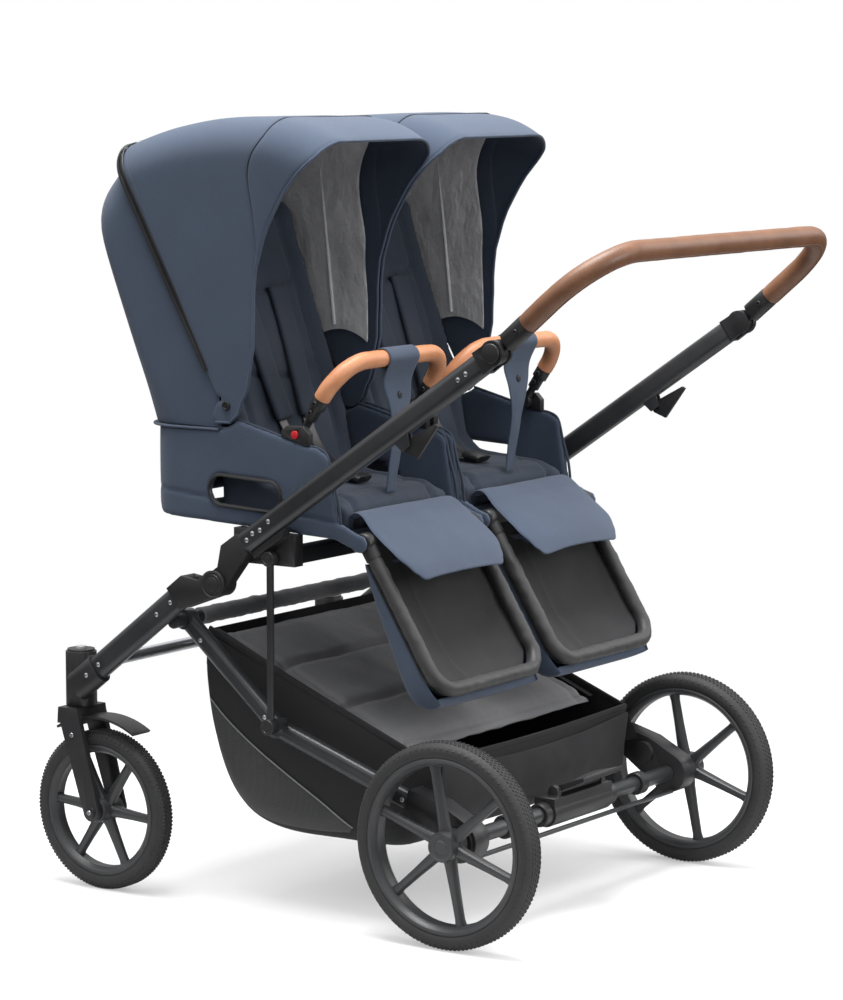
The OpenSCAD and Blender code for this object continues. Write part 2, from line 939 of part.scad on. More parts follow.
module crotch_strap(side) {
    top = bumper_pivot + bumper_reach * [cos(bumper_angle), sin(bumper_angle)];
    color("#2c3a4e")
        at_seat(side)
            difference() {
                union() {
                    slab(-strap_half, strap_half)
                        translate(top)
                            circle(bumper_r + 3.5);
                    intersection() {
                        slab(-strap_half, strap_half)
                            polygon([top + [bumper_r, 0], top + [bumper_r + 3.5, 0],
                                top + [10, -110], [33, 680.8], [28, 680.8], top + [6, -110]]);
                        translate([0, 200, 0])
                            rotate([90, 0, 0])
                                linear_extrude(400)
                                    polygon([[-strap_half, top[1]], [strap_half, top[1]],
                                        [strap_end, top[1] - 120], [strap_end, 600],
                                        [-strap_end, 600], [-strap_end, top[1] - 120]]);
                    }
                }
                slab(-strap_half - cut, strap_half + cut)
                    translate(top)
                        circle(bumper_r + seated);
            }
}

// ---- leg rests ----

module leg_plane(side) {
    at_seat(side)
        translate([0, leg_pivot[0], leg_pivot[1]])
            rotate([leg_angle, 0, 0])
                children();
}

module leg_frame(side) {
    color("#1d1e20")
        leg_plane(side)
            difference() {
                union() {
                    both_sides()
                        translate([leg_half - 7, 0, 0])
                            rotate([0, 90, 0])
                                cylinder(h = 21, r = 16);
                    u_bar(leg_half, 8, leg_rest_len, leg_bend, leg_tube_r, 0);
                }
                both_sides()
                    translate([leg_half - 11, 0, 0])
                        rotate([0, 90, 0])
                            cylinder(h = 26, r = 6 + pin_fit);
            }
}

module leg_rest(side) {
    half = leg_half - leg_tube_r - seated;
    color("#2c3a4e")
        at_seat(side) {
            slab(-half, half) {
                translate(leg_pivot)
                    circle(27);
                translate(leg_pivot)
                    rotate(leg_angle)
                        polygon([[0, -27], [0, 5], [leg_rest_len - 42, 5],
                            [leg_rest_len - 42, -20], [100, -20]]);
                translate(leg_pivot)
                    rotate(leg_angle)
                        polygon([[-24, 12], [0, 26], [48, 48], [88, 62], [90, 57],
                            [50, 36], [10, 5], [0, 0]]);
            }
            slab(30 - half, half - 30)
                translate(leg_pivot)
                    rotate(leg_angle)
                        polygon([[leg_rest_len - 50, 5], [leg_rest_len - leg_tube_r - seated, 5],
                            [leg_rest_len - leg_tube_r - seated, -20],
                            [leg_rest_len - 50, -20]]);
            slab(-half - leg_tube_r - 8, half + leg_tube_r + 8)
                translate(leg_pivot)
                    rotate(leg_angle)
                        polygon([[60, -15], [leg_rest_len + 4, -15], [leg_rest_len + 16, -40],
                            [leg_rest_len + 6, -66], [leg_rest_len - 30, -82],
                            [leg_rest_len - 80, -62], [60, -34]]);
        }
}

front_legs();
front_cross_tube();
steering_heads();
fold_hinge_cheeks();
caster_fork(1);  // caster_fork_left
caster_fork(-1);  // caster_fork_right
front_wheel(1);  // front_wheel_left
front_wheel(-1);  // front_wheel_right
front_tyre(1);  // front_tyre_left
front_tyre(-1);  // front_tyre_right
swivel_lock(1);  // swivel_lock_left
swivel_lock(-1);  // swivel_lock_right
push_tubes();
push_castings();
seat_brackets();
seat_cross_bar();
handle_pivots();
handle_bar();
handle_grip();
handle_button(1);  // handle_button_left
handle_button(-1);  // handle_button_right
fold_trigger(1);  // fold_trigger_left
fold_trigger(-1);  // fold_trigger_right
struts();
rear_legs();
rear_cross_tubes();
axle_pods();
brake_housing();
brake_pedal();
rear_wheel(1);  // rear_wheel_left
rear_wheel(-1);  // rear_wheel_right
rear_tyre(1);  // rear_tyre_left
rear_tyre(-1);  // rear_tyre_right
basket();
basket_cover();
seat_hull(1);  // seat_hull_left
seat_pad(1);  // seat_pad_left
canopy_rear(1);  // canopy_rear_left
canopy_front(1);  // canopy_front_left
bumper_mounts(1);  // bumper_mounts_left
bumper_button(1, 1);  // bumper_button_left_outer
bumper_button(1, -1);  // bumper_button_left_inner
bumper_bar(1);  // bumper_bar_left
bumper_grip(1);  // bumper_grip_left
crotch_strap(1);  // crotch_strap_left
leg_frame(1);  // leg_frame_left
leg_rest(1);  // leg_rest_left
seat_hull(-1);  // seat_hull_right
seat_pad(-1);  // seat_pad_right
canopy_rear(-1);  // canopy_rear_right
canopy_front(-1);  // canopy_front_right
bumper_mounts(-1);  // bumper_mounts_right
bumper_button(-1, -1);  // bumper_button_right_outer
bumper_button(-1, 1);  // bumper_button_right_inner
bumper_bar(-1);  // bumper_bar_right
bumper_grip(-1);  // bumper_grip_right
crotch_strap(-1);  // crotch_strap_right
leg_frame(-1);  // leg_frame_right
leg_rest(-1);  // leg_rest_right
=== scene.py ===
# %% [markdown]
# # A side-by-side twin pushchair
# The CAD model gives every size and every joint. This notebook dresses it: metal and plastic parts get
# rounded edges and screws, wheels get tyres with tread, and the cloth parts are made as cloth.
# One unit is a metre. Travel is toward -Y, the handle is toward +Y, the ground is Z = 0, left is +X.

# %% Load the fixed frame
import math

import bmesh
import bpy
import json
from mathutils import Matrix, Vector, noise


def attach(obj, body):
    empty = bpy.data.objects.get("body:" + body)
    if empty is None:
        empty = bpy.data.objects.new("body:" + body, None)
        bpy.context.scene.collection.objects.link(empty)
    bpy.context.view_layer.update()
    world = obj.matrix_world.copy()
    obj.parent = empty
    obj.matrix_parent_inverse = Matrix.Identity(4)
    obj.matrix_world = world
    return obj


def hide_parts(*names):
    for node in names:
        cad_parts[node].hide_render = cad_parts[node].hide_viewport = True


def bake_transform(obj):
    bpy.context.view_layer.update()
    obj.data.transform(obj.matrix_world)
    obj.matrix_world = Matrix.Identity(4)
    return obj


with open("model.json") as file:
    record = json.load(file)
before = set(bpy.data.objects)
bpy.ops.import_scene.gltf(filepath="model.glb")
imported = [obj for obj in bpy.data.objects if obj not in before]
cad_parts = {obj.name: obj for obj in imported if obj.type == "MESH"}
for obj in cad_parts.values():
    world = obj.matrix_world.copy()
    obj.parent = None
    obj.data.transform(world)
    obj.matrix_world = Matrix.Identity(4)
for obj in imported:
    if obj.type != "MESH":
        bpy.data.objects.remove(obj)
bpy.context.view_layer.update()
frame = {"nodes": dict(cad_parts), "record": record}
body_of = {node: body for body, nodes in frame["record"]["behaviour"]["bodies"].items() for node in nodes}
SIDES = (("left", 1), ("right", -1))

# %% [markdown]
# ## Camera, floor and light
# The camera stands low on the left, beside the handle, looking forward. Large soft panels light the cloth
# from above, the backdrop stays white, and a pale floor that fades out holds a faint shadow.

# %% Camera
SEAT_X = 0.178
AIM = Vector((0, -0.082, 0.55))


def make_camera(azimuth, elevation, distance, lens, shift):
    away = Vector((math.sin(azimuth) * math.cos(elevation), -math.cos(azimuth) * math.cos(elevation),
                   math.sin(elevation)))
    data = bpy.data.cameras.new("camera")
    data.lens, data.sensor_width = lens, 36
    data.shift_x, data.shift_y = shift
    camera = bpy.data.objects.new("camera", data)
    bpy.context.scene.collection.objects.link(camera)
    camera.location = AIM + away * distance
    camera.rotation_mode = "QUATERNION"
    camera.rotation_quaternion = (-away).to_track_quat("-Z", "Y")
    data.clip_start, data.clip_end = 0.1, 100
    bpy.context.scene.camera = camera


make_camera(math.radians(124.5), math.radians(8.05), 5.9, 126, (0.026, 0.055))


# %% Floor and lights
def add_light(name, place, target, size, power):
    data = bpy.data.lights.new(name, "AREA")
    data.shape, data.size, data.size_y = "RECTANGLE", size[0], size[1]
    data.energy = power
    light = bpy.data.objects.new(name, data)
    bpy.context.scene.collection.objects.link(light)
    light.location = place
    light.rotation_mode = "QUATERNION"
    light.rotation_quaternion = (Vector(target) - Vector(place)).to_track_quat("-Z", "Y")


add_light("key_panel", (0.4, -0.2, 4.1), (0, -0.1, 0.7), (2.2, 2.2), 215)
add_light("side_panel", (3.6, -2.0, 3.6), (0, 0, 0.7), (0.5, 2.6), 9)
add_light("back_panel", (-3.6, 2.4, 2.6), (0, 0, 0.7), (2.2, 2.2), 40)
add_light("front_fill", (-0.3, 5.0, 2.0), (0, -0.1, 0.9), (1.8, 1.8), 95)
bpy.context.scene.view_settings.view_transform = "Standard"

world = bpy.data.worlds.new("studio")
bpy.context.scene.world = world
world.use_nodes = True
sky = world.node_tree
overhead = sky.nodes["Background"]
overhead.inputs["Color"].default_value = (1, 1, 1, 1)
backdrop = sky.nodes.new("ShaderNodeBackground")
backdrop.inputs["Color"].default_value = (1, 1, 1, 1)
direction = sky.nodes.new("ShaderNodeSeparateXYZ")
sky.links.new(sky.nodes.new("ShaderNodeTexCoord").outputs["Generated"], direction.inputs[0])
height = sky.nodes.new("ShaderNodeMapRange")
for socket, value in (("From Min", -0.1), ("From Max", 0.9), ("To Min", 0.10), ("To Max", 1.45)):
    height.inputs[socket].default_value = value
sky.links.new(direction.outputs["Z"], height.inputs["Value"])
sky.links.new(height.outputs["Result"], overhead.inputs["Strength"])
seen = sky.nodes.new("ShaderNodeMixShader")
sky.links.new(sky.nodes.new("ShaderNodeLightPath").outputs["Is Camera Ray"], seen.inputs[0])
sky.links.new(overhead.outputs[0], seen.inputs[1])
sky.links.new(backdrop.outputs[0], seen.inputs[2])
sky.links.new(seen.outputs[0], sky.nodes["World Output"].inputs["Surface"])

bpy.ops.mesh.primitive_plane_add(size=60)
floor = bpy.context.object
floor.name = "studio_floor"

# %% [markdown]
# ## Writing materials as sums
# A finish is a small calculation: threads, grain or wear make a height and a colour. The two classes below
# let it be written as plain Python: `Wire` holds a socket and knows + * /, `Recipe` adds nodes.


# %% Shader arithmetic
class Wire:
    """One output socket, usable in plain arithmetic."""

    def __init__(self, recipe, socket):
        self.recipe, self.socket = recipe, socket

    def math(self, operation, *others):
        return self.recipe.node("ShaderNodeMath", dict(operation=operation), dict(enumerate((self, *others))))

    def __add__(self, other):
        return self.math("ADD", other)

    def __mul__(self, other):
        return self.math("MULTIPLY", other)

    def __truediv__(self, other):
        return self.math("DIVIDE", other)

    def sine(self):
        return self.math("SINE")

    def above(self, low, high):
        settings = dict(clamp=True)
        return self.recipe.node("ShaderNodeMapRange", settings, {"Value": self, "From Min": low, "From Max": high})

    __radd__, __rmul__ = __add__, __mul__


class Recipe:
    """A material with one Principled shader, and one way to add any other node."""

    def __init__(self, name, **plain):
        self.material = bpy.data.materials.new(name)
        self.material.use_nodes = True
        self.tree = self.material.node_tree
        self.shader = self.tree.nodes["Principled BSDF"]
        for socket, value in plain.items():
            self.shader.inputs[socket.replace("_", " ")].default_value = value

    def node(self, kind, settings=None, inputs=None, out=0):
        made = self.tree.nodes.new(kind)
        for key, value in (settings or {}).items():
            setattr(made, key, value)
        for key, value in (inputs or {}).items():
            if isinstance(value, Wire):
                self.tree.links.new(value.socket, made.inputs[key])
            else:
                made.inputs[key].default_value = value
        return Wire(self, made.outputs[out])

    def place(self, stretch=(1, 1, 1), turn=(0, 0, 0)):
        spot = self.node("ShaderNodeTexCoord", out="Object")
        return self.node("ShaderNodeMapping", None, {"Vector": spot, "Scale": stretch, "Rotation": turn})

    def cloth_place(self, stretch=(1, 1, 1)):
        spot = self.node("ShaderNodeUVMap", dict(uv_map="cloth"))
        return self.node("ShaderNodeMapping", None, {"Vector": spot, "Scale": stretch})

    def mottle(self, spot, scale, detail=3, roughness=0.55):
        return self.node("ShaderNodeTexNoise", None,
                         {"Vector": spot, "Scale": scale, "Detail": detail, "Roughness": roughness})

    def blend(self, share, first, second):
        made = self.tree.nodes.new("ShaderNodeMix")
        made.data_type = "RGBA"
        self.tree.links.new(share.socket, made.inputs[0])
        for slot, value in ((6, first), (7, second)):
            if isinstance(value, Wire):
                self.tree.links.new(value.socket, made.inputs[slot])
            else:
                made.inputs[slot].default_value = (*value, 1)
        return Wire(self, made.outputs[2])

    def feed(self, **wires):
        for socket, wire in wires.items():
            self.tree.links.new(wire.socket, self.shader.inputs[socket.replace("_", " ")])
        return self.material

    def relief(self, height, depth, strength=1.0):
        return self.node("ShaderNodeBump", None, {"Height": height, "Distance": depth, "Strength": strength})


# %% [markdown]
# ## Hard finishes
# Powder-coated tube has a very fine sparkle and a satin shine; moulded plastic has a spark-eroded grain;
# rubber is dull with a dusty bloom. Each is a noise at its real scale feeding colour, roughness and bump.


# %% Metal and plastic
def grained(name, dark, light, rough, grain=2600, depth=0.00006, metallic=0.0, blotch=9, **plain):
    recipe = Recipe(name, Metallic=metallic, **plain)
    fine = recipe.mottle(recipe.place(), grain, 2)
    broad = recipe.mottle(recipe.place(), blotch, 4)
    share = (fine * 0.45 + broad * 0.55).above(0.32, 0.68)
    return recipe.feed(Base_Color=recipe.blend(share, dark, light), Roughness=broad * 0.14 + (rough - 0.07),
                       Normal=recipe.relief(fine, depth, 0.6))


frame_coat = grained("anthracite_powder_coat", (0.030, 0.031, 0.033), (0.058, 0.060, 0.064), 0.30,
                     grain=3200, depth=0.00004, metallic=0.35)
casting_black = grained("grained_black_casting", (0.009, 0.009, 0.010), (0.021, 0.021, 0.023), 0.42,
                        grain=1500, depth=0.00010)
wheel_grey = grained("satin_wheel_moulding", (0.030, 0.031, 0.033), (0.050, 0.051, 0.054), 0.36,
                     grain=1900, depth=0.00006)
tyre_rubber = grained("dusty_tyre_rubber", (0.013, 0.013, 0.0135), (0.030, 0.030, 0.031), 0.66,
                      grain=900, depth=0.00015, blotch=16)
button_grey = grained("light_grey_button", (0.30, 0.30, 0.31), (0.42, 0.42, 0.43), 0.45)
button_red = grained("red_button", (0.42, 0.012, 0.016), (0.62, 0.022, 0.03), 0.32)
zinc_screw = grained("zinc_screw", (0.34, 0.35, 0.36), (0.55, 0.56, 0.58), 0.3, grain=900, metallic=1.0)
zip_black = grained("zip_coil_black", (0.010, 0.010, 0.012), (0.025, 0.025, 0.028), 0.35, grain=1200)


def brushed(name, dark, light, rough):
    recipe = Recipe(name, Metallic=1.0)
    streak = recipe.mottle(recipe.place((2, 240, 240)), 9, 5, 0.7)
    smear = recipe.mottle(recipe.place(), 14, 3)
    return recipe.feed(Base_Color=recipe.blend(streak, dark, light), Roughness=streak * 0.2 + smear * 0.1 + rough,
                       Normal=recipe.relief(streak, 0.00003, 0.5))


bare_tube = brushed("brushed_bare_tube", (0.42, 0.43, 0.45), (0.68, 0.69, 0.71), 0.2)

# %% [markdown]
# ## Cloth and leather
# Every cloth piece carries a UV map named `cloth`, measured in metres, so a thread is the same size on all
# of them. A plain weave is two crossed sine waves; long thin noise along both threads gives the heathered,
# slightly uneven colour of dyed polyester. Leather is a fine pebble of rounded cells with broad mottling.


# %% Cloth
def woven(name, dark, light, pitch=0.0011, depth=0.00012, rough=0.86, heather=0.55, sheen=0.35, fold=0.0):
    recipe = Recipe(name, Sheen_Weight=sheen, Sheen_Roughness=0.5)
    thread = 2 * math.pi / pitch
    across = recipe.node("ShaderNodeSeparateXYZ", None, {0: recipe.cloth_place((thread, thread, thread))}, 0)
    along = recipe.node("ShaderNodeSeparateXYZ", None, {0: recipe.cloth_place((thread, thread, thread))}, 1)
    weave = across.sine() * along.sine() * 0.5 + 0.5
    warp = recipe.mottle(recipe.cloth_place((60, 1400, 1)), 1, 3)
    weft = recipe.mottle(recipe.cloth_place((1400, 60, 1)), 1, 3)
    broad = recipe.mottle(recipe.place(), 7, 4)
    tone = (warp * 0.5 + weft * 0.5) * heather + broad * (0.85 - heather) + weave * 0.15
    shade = tone.above(0.34, 0.64)
    crumple = recipe.mottle(recipe.place((1, 1, 0.7)), 22, 4)
    height = weave * depth + warp * (depth * 0.8) + crumple * fold
    return recipe.feed(Base_Color=recipe.blend(shade, dark, light), Roughness=broad * 0.12 + (rough - 0.06),
                       Normal=recipe.relief(height, 1.0, 0.8))


shell_cloth = woven("slate_blue_cloth", (0.034, 0.050, 0.083), (0.056, 0.079, 0.124), sheen=0.12)
pad_cloth = woven("dark_navy_cloth", (0.014, 0.021, 0.036), (0.026, 0.037, 0.060), sheen=0.08, fold=0.0002)
lining_cloth = woven("silver_lining", (0.50, 0.505, 0.515), (0.78, 0.785, 0.80), pitch=0.0016, rough=0.45,
                     heather=0.3, sheen=0.0, fold=0.012)
black_cloth = woven("black_basket_cloth", (0.006, 0.006, 0.007), (0.014, 0.014, 0.016), pitch=0.0014, sheen=0.06,
                    fold=0.0005)
grey_cloth = woven("charcoal_cover_cloth", (0.150, 0.150, 0.155), (0.235, 0.235, 0.242), pitch=0.0016, sheen=0.08,
                   fold=0.0006)
sleeve_cloth = woven("black_sleeve_cloth", (0.018, 0.018, 0.019), (0.038, 0.038, 0.040), pitch=0.0013, rough=0.48,
                     sheen=0.06, fold=0.0004)
calf_cloth = woven("dark_grey_panel_cloth", (0.013, 0.013, 0.014), (0.025, 0.025, 0.027), pitch=0.0016, sheen=0.06,
                   fold=0.0008)
piping_cloth = woven("grey_piping_cloth", (0.16, 0.165, 0.17), (0.27, 0.275, 0.285), pitch=0.0012)
thread_navy = woven("navy_thread", (0.060, 0.082, 0.120), (0.105, 0.135, 0.185), pitch=0.0006)
thread_black = woven("black_thread", (0.02, 0.02, 0.022), (0.05, 0.05, 0.055), pitch=0.0006)
thread_tan = woven("tan_thread", (0.30, 0.15, 0.08), (0.46, 0.25, 0.15), pitch=0.0006)


def pebbled(name, dark, light, rough=0.44):
    recipe = Recipe(name)
    cells = recipe.node("ShaderNodeTexVoronoi", dict(feature="SMOOTH_F1"), {"Vector": recipe.place(), "Scale": 620})
    broad = recipe.mottle(recipe.place(), 18, 4)
    fine = recipe.mottle(recipe.place(), 240, 4)
    share = (broad * 0.7 + fine * 0.3).above(0.34, 0.66)
    crease = cells * 0.7 + fine * 0.3
    return recipe.feed(Base_Color=recipe.blend(share, dark, light),
                       Roughness=fine * 0.16 + broad * 0.12 + (rough - 0.12),
                       Normal=recipe.relief(crease, 0.00022, 0.55))


handle_leather = pebbled("brown_handle_leather", (0.150, 0.064, 0.031), (0.225, 0.104, 0.054))
bar_leather = pebbled("orange_tan_leather", (0.50, 0.200, 0.090), (0.66, 0.300, 0.150))

floor_recipe = Recipe("pale_floor", Roughness=0.75)
cloudy = floor_recipe.mottle(floor_recipe.place(), 1.4, 3)
away = floor_recipe.node("ShaderNodeVectorMath", dict(operation="LENGTH"), {0: floor_recipe.place()}, 1)
floor.data.materials.append(floor_recipe.feed(
    Base_Color=floor_recipe.blend(cloudy, (0.90, 0.90, 0.90), (0.94, 0.94, 0.94)),
    Alpha=(away * -1.0 + 1.75).above(0.0, 1.1) * 0.6))
print("finishes", len(bpy.data.materials))

# %% [markdown]
# ## Making meshes
# Four helpers make nearly everything: a grid of points, a section swept along a path, a profile turned about
# the X axis, and a copy of a CAD part with rounded edges.


# %% Grids, sweeps and turned shapes
def across(path):
    """A direction square to the plane that a path bends in, or square to it if it is straight."""
    steps = [b - a for a, b in zip(path, path[1:])]
    turn = Vector()
    for a, b in zip(steps, steps[1:]):
        bend = a.cross(b)
        turn += bend if bend.dot(turn) >= 0 else -bend
    if turn.length > 1e-9:
        return turn.normalized()
    run = (path[-1] - path[0]).normalized()
    axis = min(range(3), key=lambda k: abs(run[k]))
    return run.cross(Vector([float(k == axis) for k in range(3)])).normalized()


class Shape:
    """Collects points and faces, then becomes a mesh."""

    def __init__(self):
        self.points, self.faces = [], []

    def grid(self, rows, around=False, ends=False):
        start, width = len(self.points), len(rows[0])
        for row in rows:
            self.points += [Vector(p) for p in row]
        for j in range(len(rows) - 1):
            for i in range(width if around else width - 1):
                a, b = start + j * width + i, start + j * width + (i + 1) % width
                self.faces.append((a, b, b + width, a + width))
        if ends:
            self.faces.append(tuple(range(start, start + width))[::-1])
            last = start + (len(rows) - 1) * width
            self.faces.append(tuple(range(last, last + width)))
        return self

    def sweep(self, path, section, closed=False, up=None):
        """section(share) gives the points (a, b) round the path; a lies along up, b across it."""
        path = [Vector(p) for p in path]
        up = up or across(path)
        count, rows = len(path), []
        for i, point in enumerate(path):
            before = path[i - 1] if closed or i else point
            after = path[(i + 1) % count] if closed or i + 1 < count else point
            ahead = (after - before).normalized()
            side = (Vector(up) - ahead * ahead.dot(Vector(up))).normalized()
            other = ahead.cross(side)
            rows.append([point + side * a + other * b for a, b in section(i / max(1, count - 1))])
        if closed:
            rows.append(rows[0])
        return self.grid(rows, around=True, ends=not closed)

    def turned(self, profile, centre, steps=64):
        """Profile of (x, radius) turned about the line through centre, a (y, z) pair."""
        rows = []
        for i in range(steps + 1):
            angle = 2 * math.pi * i / steps
            rows.append([(x, centre[0] + r * math.cos(angle), centre[1] + r * math.sin(angle)) for x, r in profile])
        return self.grid(rows)

    def mesh(self, name):
        made = bpy.data.meshes.new(name)
        made.from_pydata([tuple(p) for p in self.points], [], self.faces)
        work = bmesh.new()
        work.from_mesh(made)
        bmesh.ops.remove_doubles(work, verts=work.verts, dist=1e-6)
        bmesh.ops.recalc_face_normals(work, faces=work.faces)
        work.to_mesh(made)
        work.free()
        return made


def round_section(radius, steps=20):
    ring = [(radius * math.cos(2 * math.pi * i / steps), radius * math.sin(2 * math.pi * i / steps))
            for i in range(steps)]
    return lambda share: ring


def flat_section(width, height, steps=4):
    """Flattened oval, width along up."""
    ring = []
    for corner in range(4):
        for i in range(steps):
            angle = math.pi / 2 * (corner + i / (steps - 1))
            r = min(width, height) / 2 * 0.98
            ring.append((math.copysign(width / 2 - r, math.cos(angle + 1e-6)) + r * math.cos(angle),
                         math.copysign(height / 2 - r, math.sin(angle + 1e-6)) + r * math.sin(angle)))
    return lambda share: ring


def in_plane(outline, x=0):
    """An outline drawn as (y, z) pairs, all at one x."""
    return [Vector((x, y, z)) for y, z in outline]


def turned_frame(pin, degrees):
    """Gives a function that places (x, along, above) in a frame turned about a pin, a (y, z) pair."""
    a = math.radians(degrees)
    return lambda x, along, above=0.0: Vector((x, pin[0] + along * math.cos(a) - above * math.sin(a),
                                               pin[1] + along * math.sin(a) + above * math.cos(a)))


def smooth(points, steps=6):
    """Catmull-Rom curve through the points."""
    points = [Vector(p) for p in points]
    count, made = len(points), []
    for i in range(count - 1):
        p = [points[min(max(i + k, 0), count - 1)] for k in (-1, 0, 1, 2)]
        for j in range(steps):
            t = j / steps
            made.append(0.5 * (2 * p[1] + (p[2] - p[0]) * t + (2 * p[0] - 5 * p[1] + 4 * p[2] - p[3]) * t * t
                               + (3 * p[1] - p[0] - 3 * p[2] + p[3]) * t ** 3))
    return made + [points[-1]]


# %% Turning meshes into pieces
def shade(mesh, sharp=40):
    mesh.shade_smooth()
    mesh.set_sharp_from_angle(angle=math.radians(sharp))


def cloth_map(mesh):
    """Cloth UV in metres, laid on each face from the side that it faces most."""
    layer = mesh.uv_layers.get("cloth") or mesh.uv_layers.new(name="cloth")
    for face in mesh.polygons:
        n = face.normal
        axis = max(range(3), key=lambda k: abs(n[k]))
        u, v = [k for k in range(3) if k != axis]
        for loop in face.loop_indices:
            point = mesh.vertices[mesh.loops[loop].vertex_index].co
            layer.data[loop].uv = (point[u], point[v])


def piece(name, mesh, finish, body, stands_for=(), sharp=40):
    made = bpy.data.objects.new(name, mesh)
    bpy.context.scene.collection.objects.link(made)
    mesh.materials.clear()
    mesh.materials.append(finish)
    shade(mesh, sharp)
    cloth_map(mesh)
    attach(made, body)
    if stands_for:
        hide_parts(*stands_for)
    return made


def across_joint(made):
    """Cloth sewn to two bodies is taken off its body and left where it is, riding neither."""
    made.parent = None
    made.matrix_world = Matrix.Identity(4)
    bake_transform(made)


def apply_all(made):
    """Bakes a piece's modifiers into its mesh."""
    seen = made.evaluated_get(bpy.context.evaluated_depsgraph_get())
    mesh = bpy.data.meshes.new_from_object(seen)
    made.modifiers.clear()
    old, made.data = made.data, mesh
    bpy.data.meshes.remove(old)
    return made


def cad_copy(node):
    work = bmesh.new()
    work.from_mesh(frame["nodes"][node].data)
    bmesh.ops.remove_doubles(work, verts=work.verts, dist=1e-6)
    return work


# %% [markdown]
# ## Tubes, castings and levers
# The CAD shapes are right, but their edges are knife sharp. Each is copied, its flat faces are merged, and a
# Bevel modifier rolls the edges over by a millimetre or so, which is what catches the light on real parts.

# %% Rounded copies of the hard parts
HARD_PARTS = {
    frame_coat: ("frame_tube", 0.0006, ["front_legs", "push_tubes", "seat_cross_bar", "rear_legs",
                                         "rear_cross_tubes"]),
    bare_tube: ("bare_tube", 0.0005, ["front_cross_tube"]),
    casting_black: ("casting", 0.0016, [
        "steering_heads", "fold_hinge_cheeks", "caster_fork_left", "caster_fork_right", "push_castings",
        "seat_brackets", "handle_pivots", "handle_bar", "handle_button_left", "handle_button_right",
        "fold_trigger_left", "fold_trigger_right", "struts", "axle_pods", "brake_housing", "brake_pedal",
        "bumper_mounts_left", "bumper_mounts_right", "bumper_bar_left", "bumper_bar_right"]),
    button_grey: ("grey_button", 0.0008, ["swivel_lock_left", "swivel_lock_right"]),
    button_red: ("red_button", 0.0006, [f"bumper_button_{s}_{p}" for s in ("left", "right")
                                        for p in ("outer", "inner")]),
}


def rounded_copy(node, finish, roll):
    work = cad_copy(node)
    bmesh.ops.dissolve_limit(work, angle_limit=math.radians(0.8), verts=work.verts, edges=work.edges)
    mesh = bpy.data.meshes.new(node + "_shape")
    work.to_mesh(mesh)
    work.free()
    made = piece(node + "_shape", mesh, finish, body_of[node], [node], sharp=32)
    bevel = made.modifiers.new("rolled edges", "BEVEL")
    bevel.width, bevel.segments, bevel.limit_method = roll, 2, "ANGLE"
    bevel.angle_limit = math.radians(32)
    bevel.harden_normals = False
    apply_all(made)
    shade(made.data, 38)
    cloth_map(made.data)
    return made


for finish, (slot, roll, nodes) in HARD_PARTS.items():
    for node in nodes:
        rounded_copy(node, finish, roll)
print("hard parts", sum(len(row[2]) for row in HARD_PARTS.values()))

# %% [markdown]
# ## Growing repeated parts with Geometry Nodes
# Screws, stitches, spokes and tread blocks are one small shape placed many times. Each tree below takes a
# line or a set of points, places copies, makes them real and gives them their finish.


# %% Node trees
class Grower(Recipe):
    """A Geometry Nodes tree with named inputs, written with the same node method as a material."""

    def __init__(self, name, **inputs):
        self.tree = bpy.data.node_groups.new(name, "GeometryNodeTree")
        add = self.tree.interface.new_socket
        add("Geometry", in_out="INPUT", socket_type="NodeSocketGeometry")
        for key, kind in inputs.items():
            add(key.replace("_", " "), in_out="INPUT", socket_type="NodeSocket" + kind)
        add("Geometry", in_out="OUTPUT", socket_type="NodeSocketGeometry")
        self.entry = self.tree.nodes.new("NodeGroupInput")
        self.exit = self.tree.nodes.new("NodeGroupOutput")

    def named(self, key):
        return Wire(self, self.entry.outputs[key])

    def end(self, wire):
        real = self.node("GeometryNodeRealizeInstances", None, {"Geometry": wire})
        done = self.node("GeometryNodeSetMaterial", None, {"Geometry": real, "Material": self.named("Finish")})
        self.tree.links.new(done.socket, self.exit.inputs[0])
        return self.tree


def seed_mesh(name, points, edges=(), facing=None):
    mesh = bpy.data.meshes.new(name)
    mesh.from_pydata([tuple(p) for p in points], list(edges), [])
    if facing:
        layer = mesh.attributes.new("facing", "FLOAT_VECTOR", "POINT")
        for spot, way in zip(layer.data, facing):
            spot.vector = way
    return mesh


def grow(tree, mesh, **values):
    """Runs a tree on a mesh and returns the result as a plain mesh."""
    holder = bpy.data.objects.new("holder", mesh)
    bpy.context.scene.collection.objects.link(holder)
    modifier = holder.modifiers.new("grow", "NODES")
    modifier.node_group = tree
    names = {item.name: item.identifier for item in tree.interface.items_tree if item.in_out == "INPUT"}
    for key, value in values.items():
        modifier[names[key.replace("_", " ")]] = value
    holder.update_tag()
    seen = holder.evaluated_get(bpy.context.evaluated_depsgraph_get())
    made = bpy.data.meshes.new_from_object(seen)
    bpy.data.objects.remove(holder)
    return made


def hidden_item(name, shape):
    """A small shape that the trees copy; it is not a piece of the pushchair."""
    return bpy.data.objects.new(name, shape.mesh(name))


# one copy of an object on each point, its X axis turned to the point's facing
on_points = Grower("copies_on_points", Item="Object", Finish="Material")
item = on_points.node("GeometryNodeObjectInfo", None, {"Object": on_points.named("Item")}, "Geometry")
facing = on_points.node("GeometryNodeInputNamedAttribute", dict(data_type="FLOAT_VECTOR"), {"Name": "facing"})
turned = on_points.node("FunctionNodeAlignRotationToVector", dict(axis="X"), {"Vector": facing})
on_points_tree = on_points.end(on_points.node("GeometryNodeInstanceOnPoints", None, {
    "Points": on_points.named("Geometry"), "Instance": item, "Rotation": turned}))

